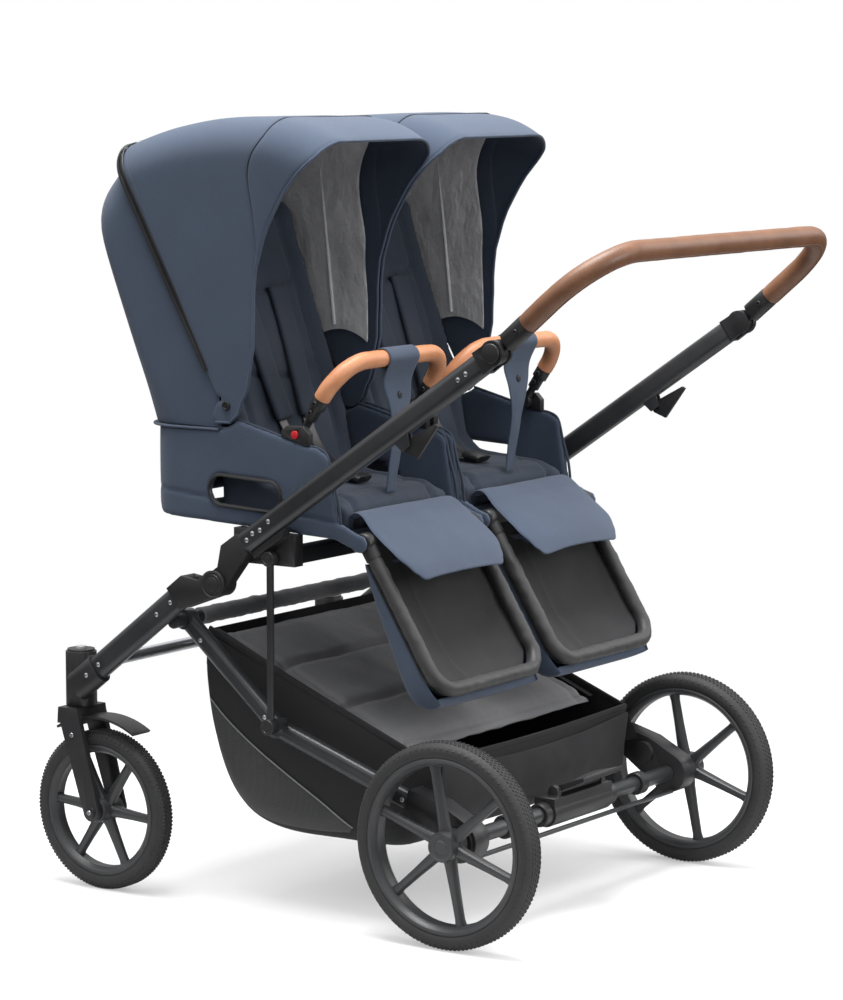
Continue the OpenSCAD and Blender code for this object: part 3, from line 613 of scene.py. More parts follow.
# copies every so far along a line, their X axis along the line
on_lines = Grower("copies_on_lines", Item="Object", Pitch="Float", Finish="Material")
item = on_lines.node("GeometryNodeObjectInfo", None, {"Object": on_lines.named("Item")}, "Geometry")
line = on_lines.node("GeometryNodeMeshToCurve", None, {"Mesh": on_lines.named("Geometry")})
spots = on_lines.node("GeometryNodeResampleCurve", dict(mode="LENGTH"), {"Curve": line,
                                                                         "Length": on_lines.named("Pitch")})
ahead = on_lines.node("GeometryNodeInputTangent")
turned = on_lines.node("FunctionNodeAlignRotationToVector", dict(axis="X"), {"Vector": ahead})
on_lines_tree = on_lines.end(on_lines.node("GeometryNodeInstanceOnPoints", None, {
    "Points": spots, "Instance": item, "Rotation": turned}))

# copies in a ring about the X axis
in_rings = Grower("copies_in_rings", Item="Object", Count="Int", Start="Float", Finish="Material")
item = in_rings.node("GeometryNodeObjectInfo", None, {"Object": in_rings.named("Item")}, "Geometry")
spots = in_rings.node("GeometryNodeMeshLine", None, {"Count": in_rings.named("Count"), "Offset": (0, 0, 0)})
index = in_rings.node("GeometryNodeInputIndex")
angle = index / in_rings.named("Count") * (2 * math.pi) + in_rings.named("Start")
turned = in_rings.node("ShaderNodeCombineXYZ", None, {0: angle})
in_rings_tree = in_rings.end(in_rings.node("GeometryNodeInstanceOnPoints", None, {
    "Points": spots, "Instance": item, "Rotation": turned}))

# %% [markdown]
# ## Wheels
# A rear wheel is a deep barrel rim, six tapered spokes and a stepped hub cap, moulded in one. The rim and cap
# are turned profiles; one spoke is lofted and a tree copies it round the hub. The foam tyre is turned too,
# with three rings of diamond blocks on its crown.


# %% Rim, spokes and tyre
def spoke_shape(hub_r, rim_r):
    rows = []
    for share, width, depth in ((0, 12, 20), (0.12, 10, 19), (0.5, 8.2, 17), (0.85, 7.6, 16), (1, 10.5, 19)):
        radius = hub_r - 0.004 + share * (rim_r - 0.006 - hub_r + 0.004)
        ring = flat_section(depth / 1000, 2 * width / 1000, 4)(0)
        rows.append([(a, b, radius) for a, b in ring])
    return Shape().grid(rows, around=True, ends=True)


def diamond_block(radius, x, length, width, height):
    low, high = radius - 0.002, radius + height
    base = [(x - width, 0), (x, -length), (x + width, 0), (x, length)]
    top = [(x + (a - x) * 0.7, b * 0.7) for a, b in base]
    shape = Shape()
    shape.grid([[(a, b, low) for a, b in base], [(a, b, high) for a, b in top]], around=True)
    shape.faces.append((4, 5, 6, 7))
    return shape


def shifted(mesh, move):
    mesh.transform(Matrix.Translation(move))
    return mesh


def joined(name, meshes):
    work = bmesh.new()
    for mesh in meshes:
        work.from_mesh(mesh)
    made = bpy.data.meshes.new(name)
    work.to_mesh(made)
    work.free()
    return made


def wheel_meshes(name, radius, width, hub_r, hub_w, start):
    rim_r, half = radius - 0.025, width / 2
    barrel = Shape().turned([
        (-half + 0.003, rim_r + 0.0005), (-half + 0.0015, rim_r - 0.002), (-half + 0.002, rim_r - 0.006),
        (-half + 0.006, rim_r - 0.010), (-half * 0.45, rim_r - 0.013), (0, rim_r - 0.011),
        (half * 0.45, rim_r - 0.013), (half - 0.006, rim_r - 0.010), (half - 0.002, rim_r - 0.006),
        (half - 0.0015, rim_r - 0.002), (half - 0.003, rim_r + 0.0005), (-half + 0.003, rim_r + 0.0005)],
        (0, 0), 96).mesh("barrel")
    out = hub_w / 2
    hub = Shape().turned([
        (-out, 0.0001), (-out, hub_r * 0.42), (-out + 0.0015, hub_r * 0.5), (-out + 0.0015, hub_r * 0.74),
        (-out + 0.0005, hub_r * 0.8), (-out + 0.001, hub_r * 0.94), (-out + 0.004, hub_r), (out - 0.004, hub_r),
        (out - 0.001, hub_r * 0.94), (out - 0.0005, hub_r * 0.8), (out - 0.0015, hub_r * 0.74),
        (out - 0.0015, hub_r * 0.5), (out, hub_r * 0.42), (out, 0.0001)], (0, 0), 48).mesh("hub")
    spokes = grow(in_rings_tree, seed_mesh("seed", [(0, 0, 0)]), Item=hidden_item("spoke", spoke_shape(hub_r, rim_r)),
                  Count=6, Start=start, Finish=wheel_grey)
    tyre = Shape().turned([
        (-half + 0.004, rim_r + 0.0003), (-half + 0.0015, rim_r + 0.003), (-half + 0.0003, rim_r + 0.008),
        (-half + 0.0007, radius - 0.012), (-half + 0.003, radius - 0.007), (-half + 0.007, radius - 0.0035),
        (-half * 0.5, radius - 0.0015), (0, radius - 0.001), (half * 0.5, radius - 0.0015),
        (half - 0.007, radius - 0.0035), (half - 0.003, radius - 0.007), (half - 0.0007, radius - 0.012),
        (half - 0.0003, rim_r + 0.008), (half - 0.0015, rim_r + 0.003), (half - 0.004, rim_r + 0.0003),
        (-half + 0.004, rim_r + 0.0003)], (0, 0), 144).mesh("tyre")
    blocks = []
    for row, x in enumerate((-0.0095, -0.0032, 0.0032, 0.0095)):
        item = hidden_item("block", diamond_block(radius - 0.0012, x, 0.0036, 0.0029, 0.0011))
        blocks.append(grow(in_rings_tree, seed_mesh("seed", [(0, 0, 0)]), Item=item, Count=132,
                           Start=(row % 2) * math.pi / 132, Finish=tyre_rubber))
    for side in (-1, 1):
        solid = Shape()
        for dx, drop in ((0.0006, 0.0016), (0.0, -0.0014)):
            solid.grid([[(side * (half - 0.0085 + dx), b, radius - 0.0032 - 0.001 + drop) for b in (-0.0024, 0.0024)],
                        [(side * (half - 0.0012 + dx), b, radius - 0.0105 + drop) for b in (-0.0009, 0.0009)]])
        solid.faces += [(0, 1, 5, 4), (1, 3, 7, 5), (3, 2, 6, 7), (2, 0, 4, 6)]
        blocks.append(grow(in_rings_tree, seed_mesh("seed", [(0, 0, 0)]), Item=hidden_item("rib", solid), Count=84,
                           Start=0.0, Finish=tyre_rubber))
    return joined(name + "_wheel", [barrel, hub, spokes]), joined(name + "_tyre", [tyre, *blocks])


REAR_AXLE, FRONT_WHEEL_X = (0.273, 0.165), 0.356
for side, g in SIDES:
    for end, spot, radius, width, hub_r, hub_w, start in (
            ("rear", (g * 0.3725, *REAR_AXLE), 0.165, 0.045, 0.024, 0.046, 0.2),
            ("front", (g * FRONT_WHEEL_X, -0.427, 0.135), 0.135, 0.038, 0.020, 0.054, 0.45)):
        disc, tyre = wheel_meshes(f"{end}_{side}", radius, width, hub_r, hub_w, start)
        body = f"{end}_wheel_{side}"
        piece(f"{end}_wheel_{side}_disc", shifted(disc, spot), wheel_grey, body, [f"{end}_wheel_{side}"], 30)
        piece(f"{end}_tyre_{side}_tread", shifted(tyre, spot), tyre_rubber, body, [f"{end}_tyre_{side}"], 30)
print("wheels done")

# %% [markdown]
# ## Cloth as sheets
# A hood or a bag is one curved sheet. Each is drawn as rows of points, thickened a little, and smoothed.
# The size it would be cut to is measured from its rows, because cloth hardly stretches.


# %% Sheet helpers
ZIP_PITCH = 0.0026


def cut_size(rows):
    """Greatest width and length along the rows and columns of a grid of points, and its area."""
    wide = max(sum((b - a).length for a, b in zip(row, row[1:])) for row in rows)
    tall = max(sum((b[i] - a[i]).length for a, b in zip(rows, rows[1:])) for i in range(len(rows[0])))
    area = sum((b[i] - a[i + 1]).cross(b[i + 1] - a[i]).length / 2 for a, b in zip(rows, rows[1:])
               for i in range(len(a) - 1))
    return wide, tall, min(max(area, 0.3 * wide * tall), wide * tall)


def creased(point, scale, depth, seed=0.0):
    """Small soft wrinkles for a point on cloth."""
    return depth * noise.fractal(point * scale + Vector((seed, 3.1, 7.7)), 0.9, 2.0, 3)


def cloth_sheet(name, rows, thick, finish, body, stands_for=(), smoothing=1):
    rows = [[Vector(p) for p in row] for row in rows]
    made = piece(name, Shape().grid(rows).mesh(name), finish, body, stands_for)
    solid = made.modifiers.new("cloth thickness", "SOLIDIFY")
    solid.thickness, solid.offset = thick, 0
    if smoothing:
        subd = made.modifiers.new("smooth cloth", "SUBSURF")
        subd.levels = subd.render_levels = smoothing
    apply_all(made)
    shade(made.data, 60)
    cloth_map(made.data)
    wide, tall, area = cut_size(rows)
    return made


def trim(name, path, radius, finish, body, closed=False, flat=None, up=None):
    """Piping, binding or a sleeve along a path."""
    section = flat_section(*flat) if flat else round_section(radius, 8)
    return piece(name, Shape().sweep(path, section, closed, up).mesh(name), finish, body)


def thread_line(name, paths, pitch, finish, body, size=(0.0011, 0.00035)):
    """Stitches along several paths, as one piece."""
    points, edges = [], []
    for path in paths:
        start = len(points)
        points += path
        edges += [(start + i, start + i + 1) for i in range(len(path) - 1)]
    long, thin = size
    stitch = Shape().grid([[(x, thin * s * math.cos(a), thin * s * math.sin(a)) for a in (0, 1.57, 3.14, 4.71)]
                           for x, s in ((-long, 0.4), (-long * 0.6, 1), (long * 0.6, 1), (long, 0.4))],
                          around=True, ends=True)
    mesh = grow(on_lines_tree, seed_mesh("line", points, edges), Item=hidden_item("stitch", stitch), Pitch=pitch,
                Finish=finish)
    return piece(name, mesh, finish, body)


def zip_teeth(name, line, reach, size, body):
    """Zip teeth along a line; each tooth reaches from -reach to reach across it."""
    tooth = Shape().sweep([[-v for v in reach], reach], flat_section(*size, 2))
    edges = [(i, i + 1) for i in range(len(line) - 1)]
    mesh = grow(on_lines_tree, seed_mesh("zip", line, edges), Item=hidden_item("tooth", tooth), Pitch=ZIP_PITCH,
                Finish=zip_black)
    return piece(name, mesh, zip_black, body)


# %% [markdown]
# ## Hoods
# Each hood turns about a pin at the seat's side, so distances from that pin and angles round it describe it
# best. The front shell is a rounded section carried from the visor's edge back to the zip; the rear shell
# closes the bag behind it. Inside hangs a silver lining, a little loose, with two ribs.

# %% Hood shapes
PIN_Y, PIN_Z = -0.186, 0.836
HOOD_R, HOOD_HALF, HOOD_CORNER, ZIP_TURN = 0.458, 0.173, 0.066, 119.6
# the hood's free edge, as (distance from the pin, angle round it)
EDGE = ((0.036, -118), (0.0425, -60), (0.0465, 0), (0.073, 37), (0.125, 57), (0.170, 66), (0.217, 70.5),
        (0.285, 71), (0.362, 68.5), (0.429, 65), (0.47, 64.4))
# the rear shell runs a fixed distance outside this outline of (y, z) corners
BACK_CORE = [Vector(p) for p in ((-0.272, 0.745), (-0.401, 1.130), (-0.350, 1.186), (-0.253, 1.216), (-0.2, 0.745))]
BACK_REACH = 0.065
HULL_RIM_Z, RIM_DROP = 0.7895, 0.0475


def along_table(table, r):
    """Straight-line reading of a table of (distance, angle) pairs."""
    for (r0, a0), (r1, a1) in zip(table, table[1:]):
        if r <= r1:
            share = min(1, max(0, (r - r0) / (r1 - r0)))
            return a0 + (a1 - a0) * share
    return table[-1][1]


def ramp(value, low, high):
    """0 below low, 1 above high, and smooth between."""
    t = min(1, max(0, (value - low) / (high - low)))
    return t * t * (3 - 2 * t)


def hood_point(g, r, x, degrees):
    """A point at distance r and this angle round the hood's pin, x from the middle of the seat."""
    a = math.radians(degrees)
    return Vector((g * SEAT_X + x, PIN_Y + r * math.cos(a), PIN_Z + r * math.sin(a)))


def section_line(half, reach, corner, inner, steps=9):
    """(distance, x) from the left pin up the wall, round the corner, across and down the other wall."""
    corner = min(corner, (reach - inner) * 0.7)
    near = [r for r in (0.004, 0.020, 0.032, 0.038, 0.0425, 0.0445, 0.0465, 0.053) if r >= inner and inner < 0.03]
    start = 0.060 if near else inner
    wall = [(r, half) for r in near] + [(start + (reach - corner - start) * i / steps, half) for i in range(steps)]
    bend = [(reach - corner + corner * math.sin(a), half - corner + corner * math.cos(a))
            for a in (math.pi / 2 * i / steps for i in range(steps))]
    top = [(reach, (half - corner) * (1 - 2 * i / steps)) for i in range(steps)]
    left = wall + bend
    return left + top + [(r, -x) for r, x in reversed(left)]


def rear_reach(degrees):
    """Distance from the pin to the rear shell at this angle, found by halving."""
    way = Vector((math.cos(math.radians(degrees)), math.sin(math.radians(degrees))))
    low, high = 0.0, 0.6
    for _ in range(24):
        mid = (low + high) / 2
        spot = Vector((PIN_Y, PIN_Z)) + way * mid
        gaps, inside = [], True
        for a, b in zip(BACK_CORE, BACK_CORE[1:] + BACK_CORE[:1]):
            edge = b - a
            share = min(1, max(0, (spot - a).dot(edge) / edge.dot(edge)))
            gaps.append((spot - a - edge * share).length)
            inside &= edge.x * (spot - a).y - edge.y * (spot - a).x <= 0
        low, high = (mid, high) if inside or min(gaps) < BACK_REACH else (low, mid)
    return low


def visor_seam(r):
    """Angle of the seam between visor and front shell, which meets the edge at the visor's corner."""
    return along_table(EDGE, r) + 0.4 + 13.2 * ramp(r, 0.225, 0.40)


def hood_rows(g, start, stop, count, reach, half, corner, inner=0.004, sag=0.0, seed=0.0, crease=0.0012, fine=0.0):
    """Rows of a hood sheet: a rounded section carried from angle start(r) to stop(r), hollowed and wrinkled."""
    rows = []
    for j in range(count + 1):
        v, row = j / count, []
        for r, x in section_line(half, reach, corner, inner):
            turn = start(r) + (stop(r) - start(r)) * v
            lift = -sag * math.sin(math.pi * v) * ramp(r, 0.1, reach)
            lift += creased(hood_point(g, r, x, turn), 7, crease, seed) * ramp(r, 0.06, 0.2)
            lift += creased(hood_point(g, r, x, turn), 21, fine, seed + 3) * ramp(r, 0.06, 0.2)
            row.append(hood_point(g, r + lift, x * (1 + lift * 1.5), turn))
        rows.append(row)
    return rows


def hem_turn(r):
    """Angle at which the rear shell meets the seat's rim."""
    return 180 + math.degrees(math.asin(min(1, RIM_DROP / max(r, 0.004))))


# %% Hoods on both seats
def make_hood_front(side, g):
    """The folding front shell with its visor, edge binding, zip and stitching."""
    hood = f"canopy_{side}"
    main = hood_rows(g, lambda r: visor_seam(r) - 1.0, lambda r: ZIP_TURN, 18, HOOD_R - 0.001, HOOD_HALF - 0.001,
                     HOOD_CORNER, sag=0.010, seed=g)
    cloth_sheet(f"hood_front_{side}", main, 0.0022, shell_cloth, hood, [f"canopy_front_{side}"])
    visor = hood_rows(g, lambda r: along_table(EDGE, r), visor_seam, 7, HOOD_R + 0.0006, HOOD_HALF + 0.0006,
                      HOOD_CORNER, inner=0.20, sag=-0.004, seed=g + 5, crease=0.0008)
    cloth_sheet(f"hood_visor_{side}", visor, 0.0026, shell_cloth, hood)
    edge = [(r, x) for r, x in section_line(HOOD_HALF - 0.0005, HOOD_R, HOOD_CORNER, 0.004, 14) if r > 0.035]
    edge = [hood_point(g, r, x, along_table(EDGE, r) - 0.1) for r, x in edge]
    trim(f"hood_edge_binding_{side}", edge, 0.0026, shell_cloth, hood)
    seam = section_line(HOOD_HALF + 0.0006, HOOD_R + 0.0012, HOOD_CORNER, 0.235, 14)
    trim(f"hood_visor_seam_{side}", [hood_point(g, r, x, visor_seam(r) + 0.1) for r, x in seam],
         0.0013, pad_cloth, hood)
    for end, flip in (("inner", -1), ("outer", 1)):
        snap = Shape().turned([(g * SEAT_X + flip * (HOOD_HALF + x), r) for x, r in (
            (-0.002, 0.0001), (-0.002, 0.0075), (0.0022, 0.0078), (0.0040, 0.0068), (0.0040, 0.0048),
            (0.0026, 0.0040), (0.0026, 0.0026), (0.0036, 0.0020), (0.0036, 0.0001))],
            (PIN_Y + 0.016, PIN_Z - 0.010), 24)
        piece(f"hood_snap_{side}_{end}", snap.mesh("snap"), casting_black, hood)
    zip_line = section_line(HOOD_HALF + 0.0012, HOOD_R + 0.0012, HOOD_CORNER, 0.05, 16)
    for part, shift in (("ahead", -1.05), ("behind", 0.55)):
        trim(f"hood_zip_tape_{side}_{part}", [hood_point(g, r, x, 118.9 + shift * min(1.6, 0.30 / max(r, 0.19)))
                                              for r, x in zip_line], 0.001, zip_black, hood,
             flat=(0.0062, 0.0016))
    coil = [hood_point(g, r + 0.0006, x * 1.004, 118.85)
            for r, x in section_line(HOOD_HALF + 0.0014, HOOD_R + 0.0014, HOOD_CORNER, 0.05, 16)]
    zip_teeth(f"hood_zip_teeth_{side}", coil, (0, 0, 0.0026), (0.0014, 0.0016), hood)
    lines = [[hood_point(g, r + 0.0008, x * 1.002, turn(r))
              for r, x in section_line(HOOD_HALF + 0.0005, HOOD_R - 0.0005, HOOD_CORNER, low, 14)]
             for turn, low in ((lambda r: 117.0 - 0.2 / max(r, 0.2), 0.06), (lambda r: visor_seam(r) + 1.0, 0.24),
                               (lambda r: visor_seam(r) - 0.9, 0.26), (lambda r: along_table(EDGE, r) + 1.4, 0.24))]
    thread_line(f"hood_stitches_{side}", lines, 0.0042, thread_navy, hood)


def make_hood_rear(side, g):
    """The fixed rear shell, hemmed over the rim of the seat."""
    seat, rear = f"seat_{side}", []
    for j in range(27):
        v = j / 26
        row = []
        reach_v = rear_reach(118 + (186 - 118) * v)
        for r, x in section_line(0.1665, reach_v, 0.078, 0.004):
            turn = 118 + (hem_turn(r) - 118) * v
            reach = rear_reach(turn)
            scaled = r if r < 0.05 else 0.05 + (r - 0.05) * (reach - 0.05) / max(0.02, reach_v - 0.05)
            point = hood_point(g, scaled, x, turn)
            puff = creased(point, 8, 0.0016, g + 9)
            row.append(hood_point(g, scaled + puff, x * (1 + puff), turn))
        rear.append(row)
    for point in rear[-1]:
        point.z = max(point.z, HULL_RIM_Z)
    cloth_sheet(f"hood_rear_{side}", rear, 0.0024, shell_cloth, seat, [f"canopy_rear_{side}"])
    hem = [Vector((p.x, p.y, p.z - 0.003)) for p in rear[-1] if p.z < 0.795]
    trim(f"hood_hem_{side}", hem, 0.003, shell_cloth, seat, flat=(0.004, 0.017), up=(0, 0, 1))


def make_hood_lining(side, g):
    """Loose lining in both shells, with two ribs."""
    seat, hood = f"seat_{side}", f"canopy_{side}"
    lining = hood_rows(g, lambda r: visor_seam(r) + 4 * (1 - ramp(r, 0.3, 0.42)) + 1.2, lambda r: 117.5, 22,
                       HOOD_R - 0.0105, HOOD_HALF - 0.0095, 0.064, inner=0.09, sag=0.014, seed=g + 20, crease=0.0075,
                       fine=0.0050)
    cloth_sheet(f"hood_lining_{side}", lining, 0.0012, lining_cloth, hood)
    back_lining = []
    for j in range(15):
        v, row = j / 14, []
        reach = rear_reach(118 + 52 * v) - 0.007
        for r, x in section_line(0.158, reach, 0.074, 0.09):
            turn = 118 + 52 * v
            row.append(hood_point(g, r + creased(hood_point(g, r, x, turn), 9, 0.003, g + 30), x, turn))
        back_lining.append(row)
    cloth_sheet(f"hood_back_lining_{side}", back_lining, 0.0012, lining_cloth, seat)
    for number, turn in enumerate((97, 116.5)):
        line = section_line(HOOD_HALF - 0.0105, HOOD_R - 0.0125 - 0.012 * (1 - number), 0.064, 0.10, 12)
        rib = [hood_point(g, r, x, turn + (number - 0.5) * 2) for r, x in line]
        trim(f"hood_rib_{side}_{number}", rib, 0.0032, lining_cloth, hood)


for side, g in SIDES:
    make_hood_front(side, g)
    make_hood_rear(side, g)
    make_hood_lining(side, g)
print("hoods done")

# %% [markdown]
# ## Padded parts by simulation
# A cushion swells between its seams. A slightly small closed copy is remeshed evenly, blown up by Blender's
# cloth solver with the gravity off, held to a small travel, and then its sewn channels are pressed in.


# %% Remesh and inflate
def remeshed(name, work, voxel, finish, body, stands_for, relax=4):
    mesh = bpy.data.meshes.new(name)
    work.to_mesh(mesh)
    work.free()
    made = piece(name, mesh, finish, body, stands_for)
    grid = made.modifiers.new("even grid", "REMESH")
    grid.mode, grid.voxel_size = "VOXEL", voxel
    soft = made.modifiers.new("relax", "SMOOTH")
    soft.factor, soft.iterations = 0.5, relax
    return apply_all(made)


def inflate(made, pressure, cap, frames=20):
    """Blows the piece up with Cloth, and caps how far any point moves."""
    rest = [v.co.copy() for v in made.data.vertices]
    cloth = made.modifiers.new("stuffing", "CLOTH")
    cloth.settings.quality = 5
    cloth.settings.mass = 0.15
    cloth.settings.tension_stiffness = cloth.settings.compression_stiffness = 12
    cloth.settings.bending_stiffness = 1.5
    cloth.settings.use_pressure = True
    cloth.settings.uniform_pressure_force = pressure
    cloth.settings.effector_weights.gravity = 0
    cloth.collision_settings.use_collision = False
    cloth.point_cache.frame_start, cloth.point_cache.frame_end = 1, frames
    scene = bpy.context.scene
    for frame_number in range(1, frames + 1):
        scene.frame_set(frame_number)
    seen = made.evaluated_get(bpy.context.evaluated_depsgraph_get())
    moved = [v.co.copy() for v in seen.data.vertices]
    made.modifiers.clear()
    scene.frame_set(1)
    drift = sum(((b - a) for a, b in zip(rest, moved)), Vector()) / len(rest)
    for vertex, a, b in zip(made.data.vertices, rest, moved):
        move = b - a - drift
        vertex.co = a + (move if move.length < cap else move.normalized() * cap)
    made.data.update()
    return made


def press(made, depth_at):
    """Moves each vertex in along its normal by depth_at(point, normal)."""
    normals = [v.normal.copy() for v in made.data.vertices]
    for vertex, normal in zip(made.data.vertices, normals):
        vertex.co -= normal * depth_at(vertex.co, normal)
    made.data.update()
    return made


def groove(distance, width, depth):
    return depth * math.exp(-(distance / width) ** 2)


def polish(made):
    shade(made.data, 70)
    cloth_map(made.data)
    return made


# %% [markdown]
# ## Seats
# The seat is a hard tray dressed in cloth, so its copy keeps its shape and only its edges soften, with a
# seam and a bound slot. The pad inside is stuffed: a seat cushion and a backrest with side bolsters.


# %% Seat shell and pad
def make_seat(side, g):
    seat, mid = f"seat_{side}", g * SEAT_X
    shell = remeshed(f"seat_shell_{side}", cad_copy(f"seat_hull_{side}"), 0.004, shell_cloth, seat,
                     [f"seat_hull_{side}"], relax=5)

    def shell_depth(p, _):
        on_side = abs(p.x - mid) > 0.165 or p.y < -0.32
        seam = groove(p.z - 0.652 - (0.05 - p.y) * 0.09, 0.0028, 0.0022) if on_side else 0
        return -creased(p, 9, 0.0011, g) + seam

    polish(press(shell, shell_depth))
    slot_at, slot_half, slot_r = turned_frame((-0.135, 0.687), -3), 0.047, 0.0245
    for flip in (-1, 1):
        slot = [slot_at(mid + flip * 0.1730, math.copysign(slot_half, math.cos(a)) + slot_r * math.cos(a),
                        slot_r * math.sin(a)) for a in (2 * math.pi * i / 40 for i in range(40))]
        name = f"slot_rim_{side}_{'outer' if flip == g else 'inner'}"
        trim(name, slot, 0.0032, casting_black, seat, closed=True)
        rim = in_plane(((0.051, 0.640), (0.046, 0.682), (0.034, 0.722), (0.024, 0.757), (0.006, 0.768),
                        (-0.024, 0.772), (-0.09, 0.789), (-0.150, 0.804)), mid + flip * 0.1675)
        trim(f"shell_piping_{side}_{'outer' if flip == g else 'inner'}", smooth(rim, 5), 0.0024, pad_cloth, seat)

    pad = remeshed(f"seat_pad_soft_{side}", cad_copy(f"seat_pad_{side}"), 0.0055, pad_cloth, seat,
                   [f"seat_pad_{side}"], relax=6)
    inflate(pad, 4, 0.006)

    def pad_depth(p, n):
        x = abs(p.x - mid)
        depth = groove(x - 0.112, 0.006, 0.007) * (n.y + n.z > 0.3)
        back = n.y > 0.2 and p.z > 0.72
        if back:
            for height in (0.86, 1.0):
                depth += groove(p.z - height - 0.02 * (x / 0.11) ** 2, 0.006, 0.005) * (x < 0.112)
            depth -= 0.010 * ramp(x, 0.115, 0.135) * ramp(p.z, 0.72, 0.8)
        elif n.z > 0.4:
            for spot in (-0.085, -0.01):
                depth += groove(p.y - spot, 0.006, 0.004) * (x < 0.112)
        return depth - creased(p, 12, 0.0022, g + 2)

    polish(press(pad, pad_depth))


for side, g in SIDES:
    make_seat(side, g)
print("seats done")

# %% [markdown]
# ## Leg rests
# A padded sleeve covers a bent tube frame. A dark panel hangs inside the frame, a deep blue bag hangs behind
# it, and a blue flap starts under the front edge of the seat and falls over the top of the frame.


# %% Leg rest pieces
LEG_PIN, LEG_TURN, LEG_HALF, LEG_REACH = (0.086, 0.621), -58, 0.1475, 0.267


leg_at = turned_frame(LEG_PIN, LEG_TURN)


def leg_point(g, x, along, above):
    return leg_at(g * SEAT_X + x, along, above)


def u_path(half, start, reach, bend, steps=10):
    """Points (x, along) of a bent bar, from the foot of one leg to the foot of the other."""
    straight = reach - bend - start
    leg = [(half, start + straight * i / steps) for i in range(steps)]
    corner = [(half - bend + bend * math.cos(a), reach - bend + bend * math.sin(a))
              for a in (math.pi / 2 * i / steps for i in range(steps))]
    cross = [((half - bend) * (1 - 2 * i / steps), reach) for i in range(steps)]
    return leg + corner + cross + [(-x, a) for x, a in reversed(leg + corner)]


def wrinkled_sleeve(path, radius, depth, scale, seed, steps=20):
    shape, count = Shape(), len(path)
    shape.sweep(path, round_section(radius, steps))
    for i, point in enumerate(shape.points[:count * steps]):
        centre = path[i // steps]
        away = (point - centre).normalized()
        point += away * creased(point, scale, depth, seed)
    return shape


def dense(path, gap):
    made = []
    for a, b in zip(path, path[1:]):
        parts = max(1, round((b - a).length / gap))
        made += [a.lerp(b, i / parts) for i in range(parts)]
    return made + [path[-1]]


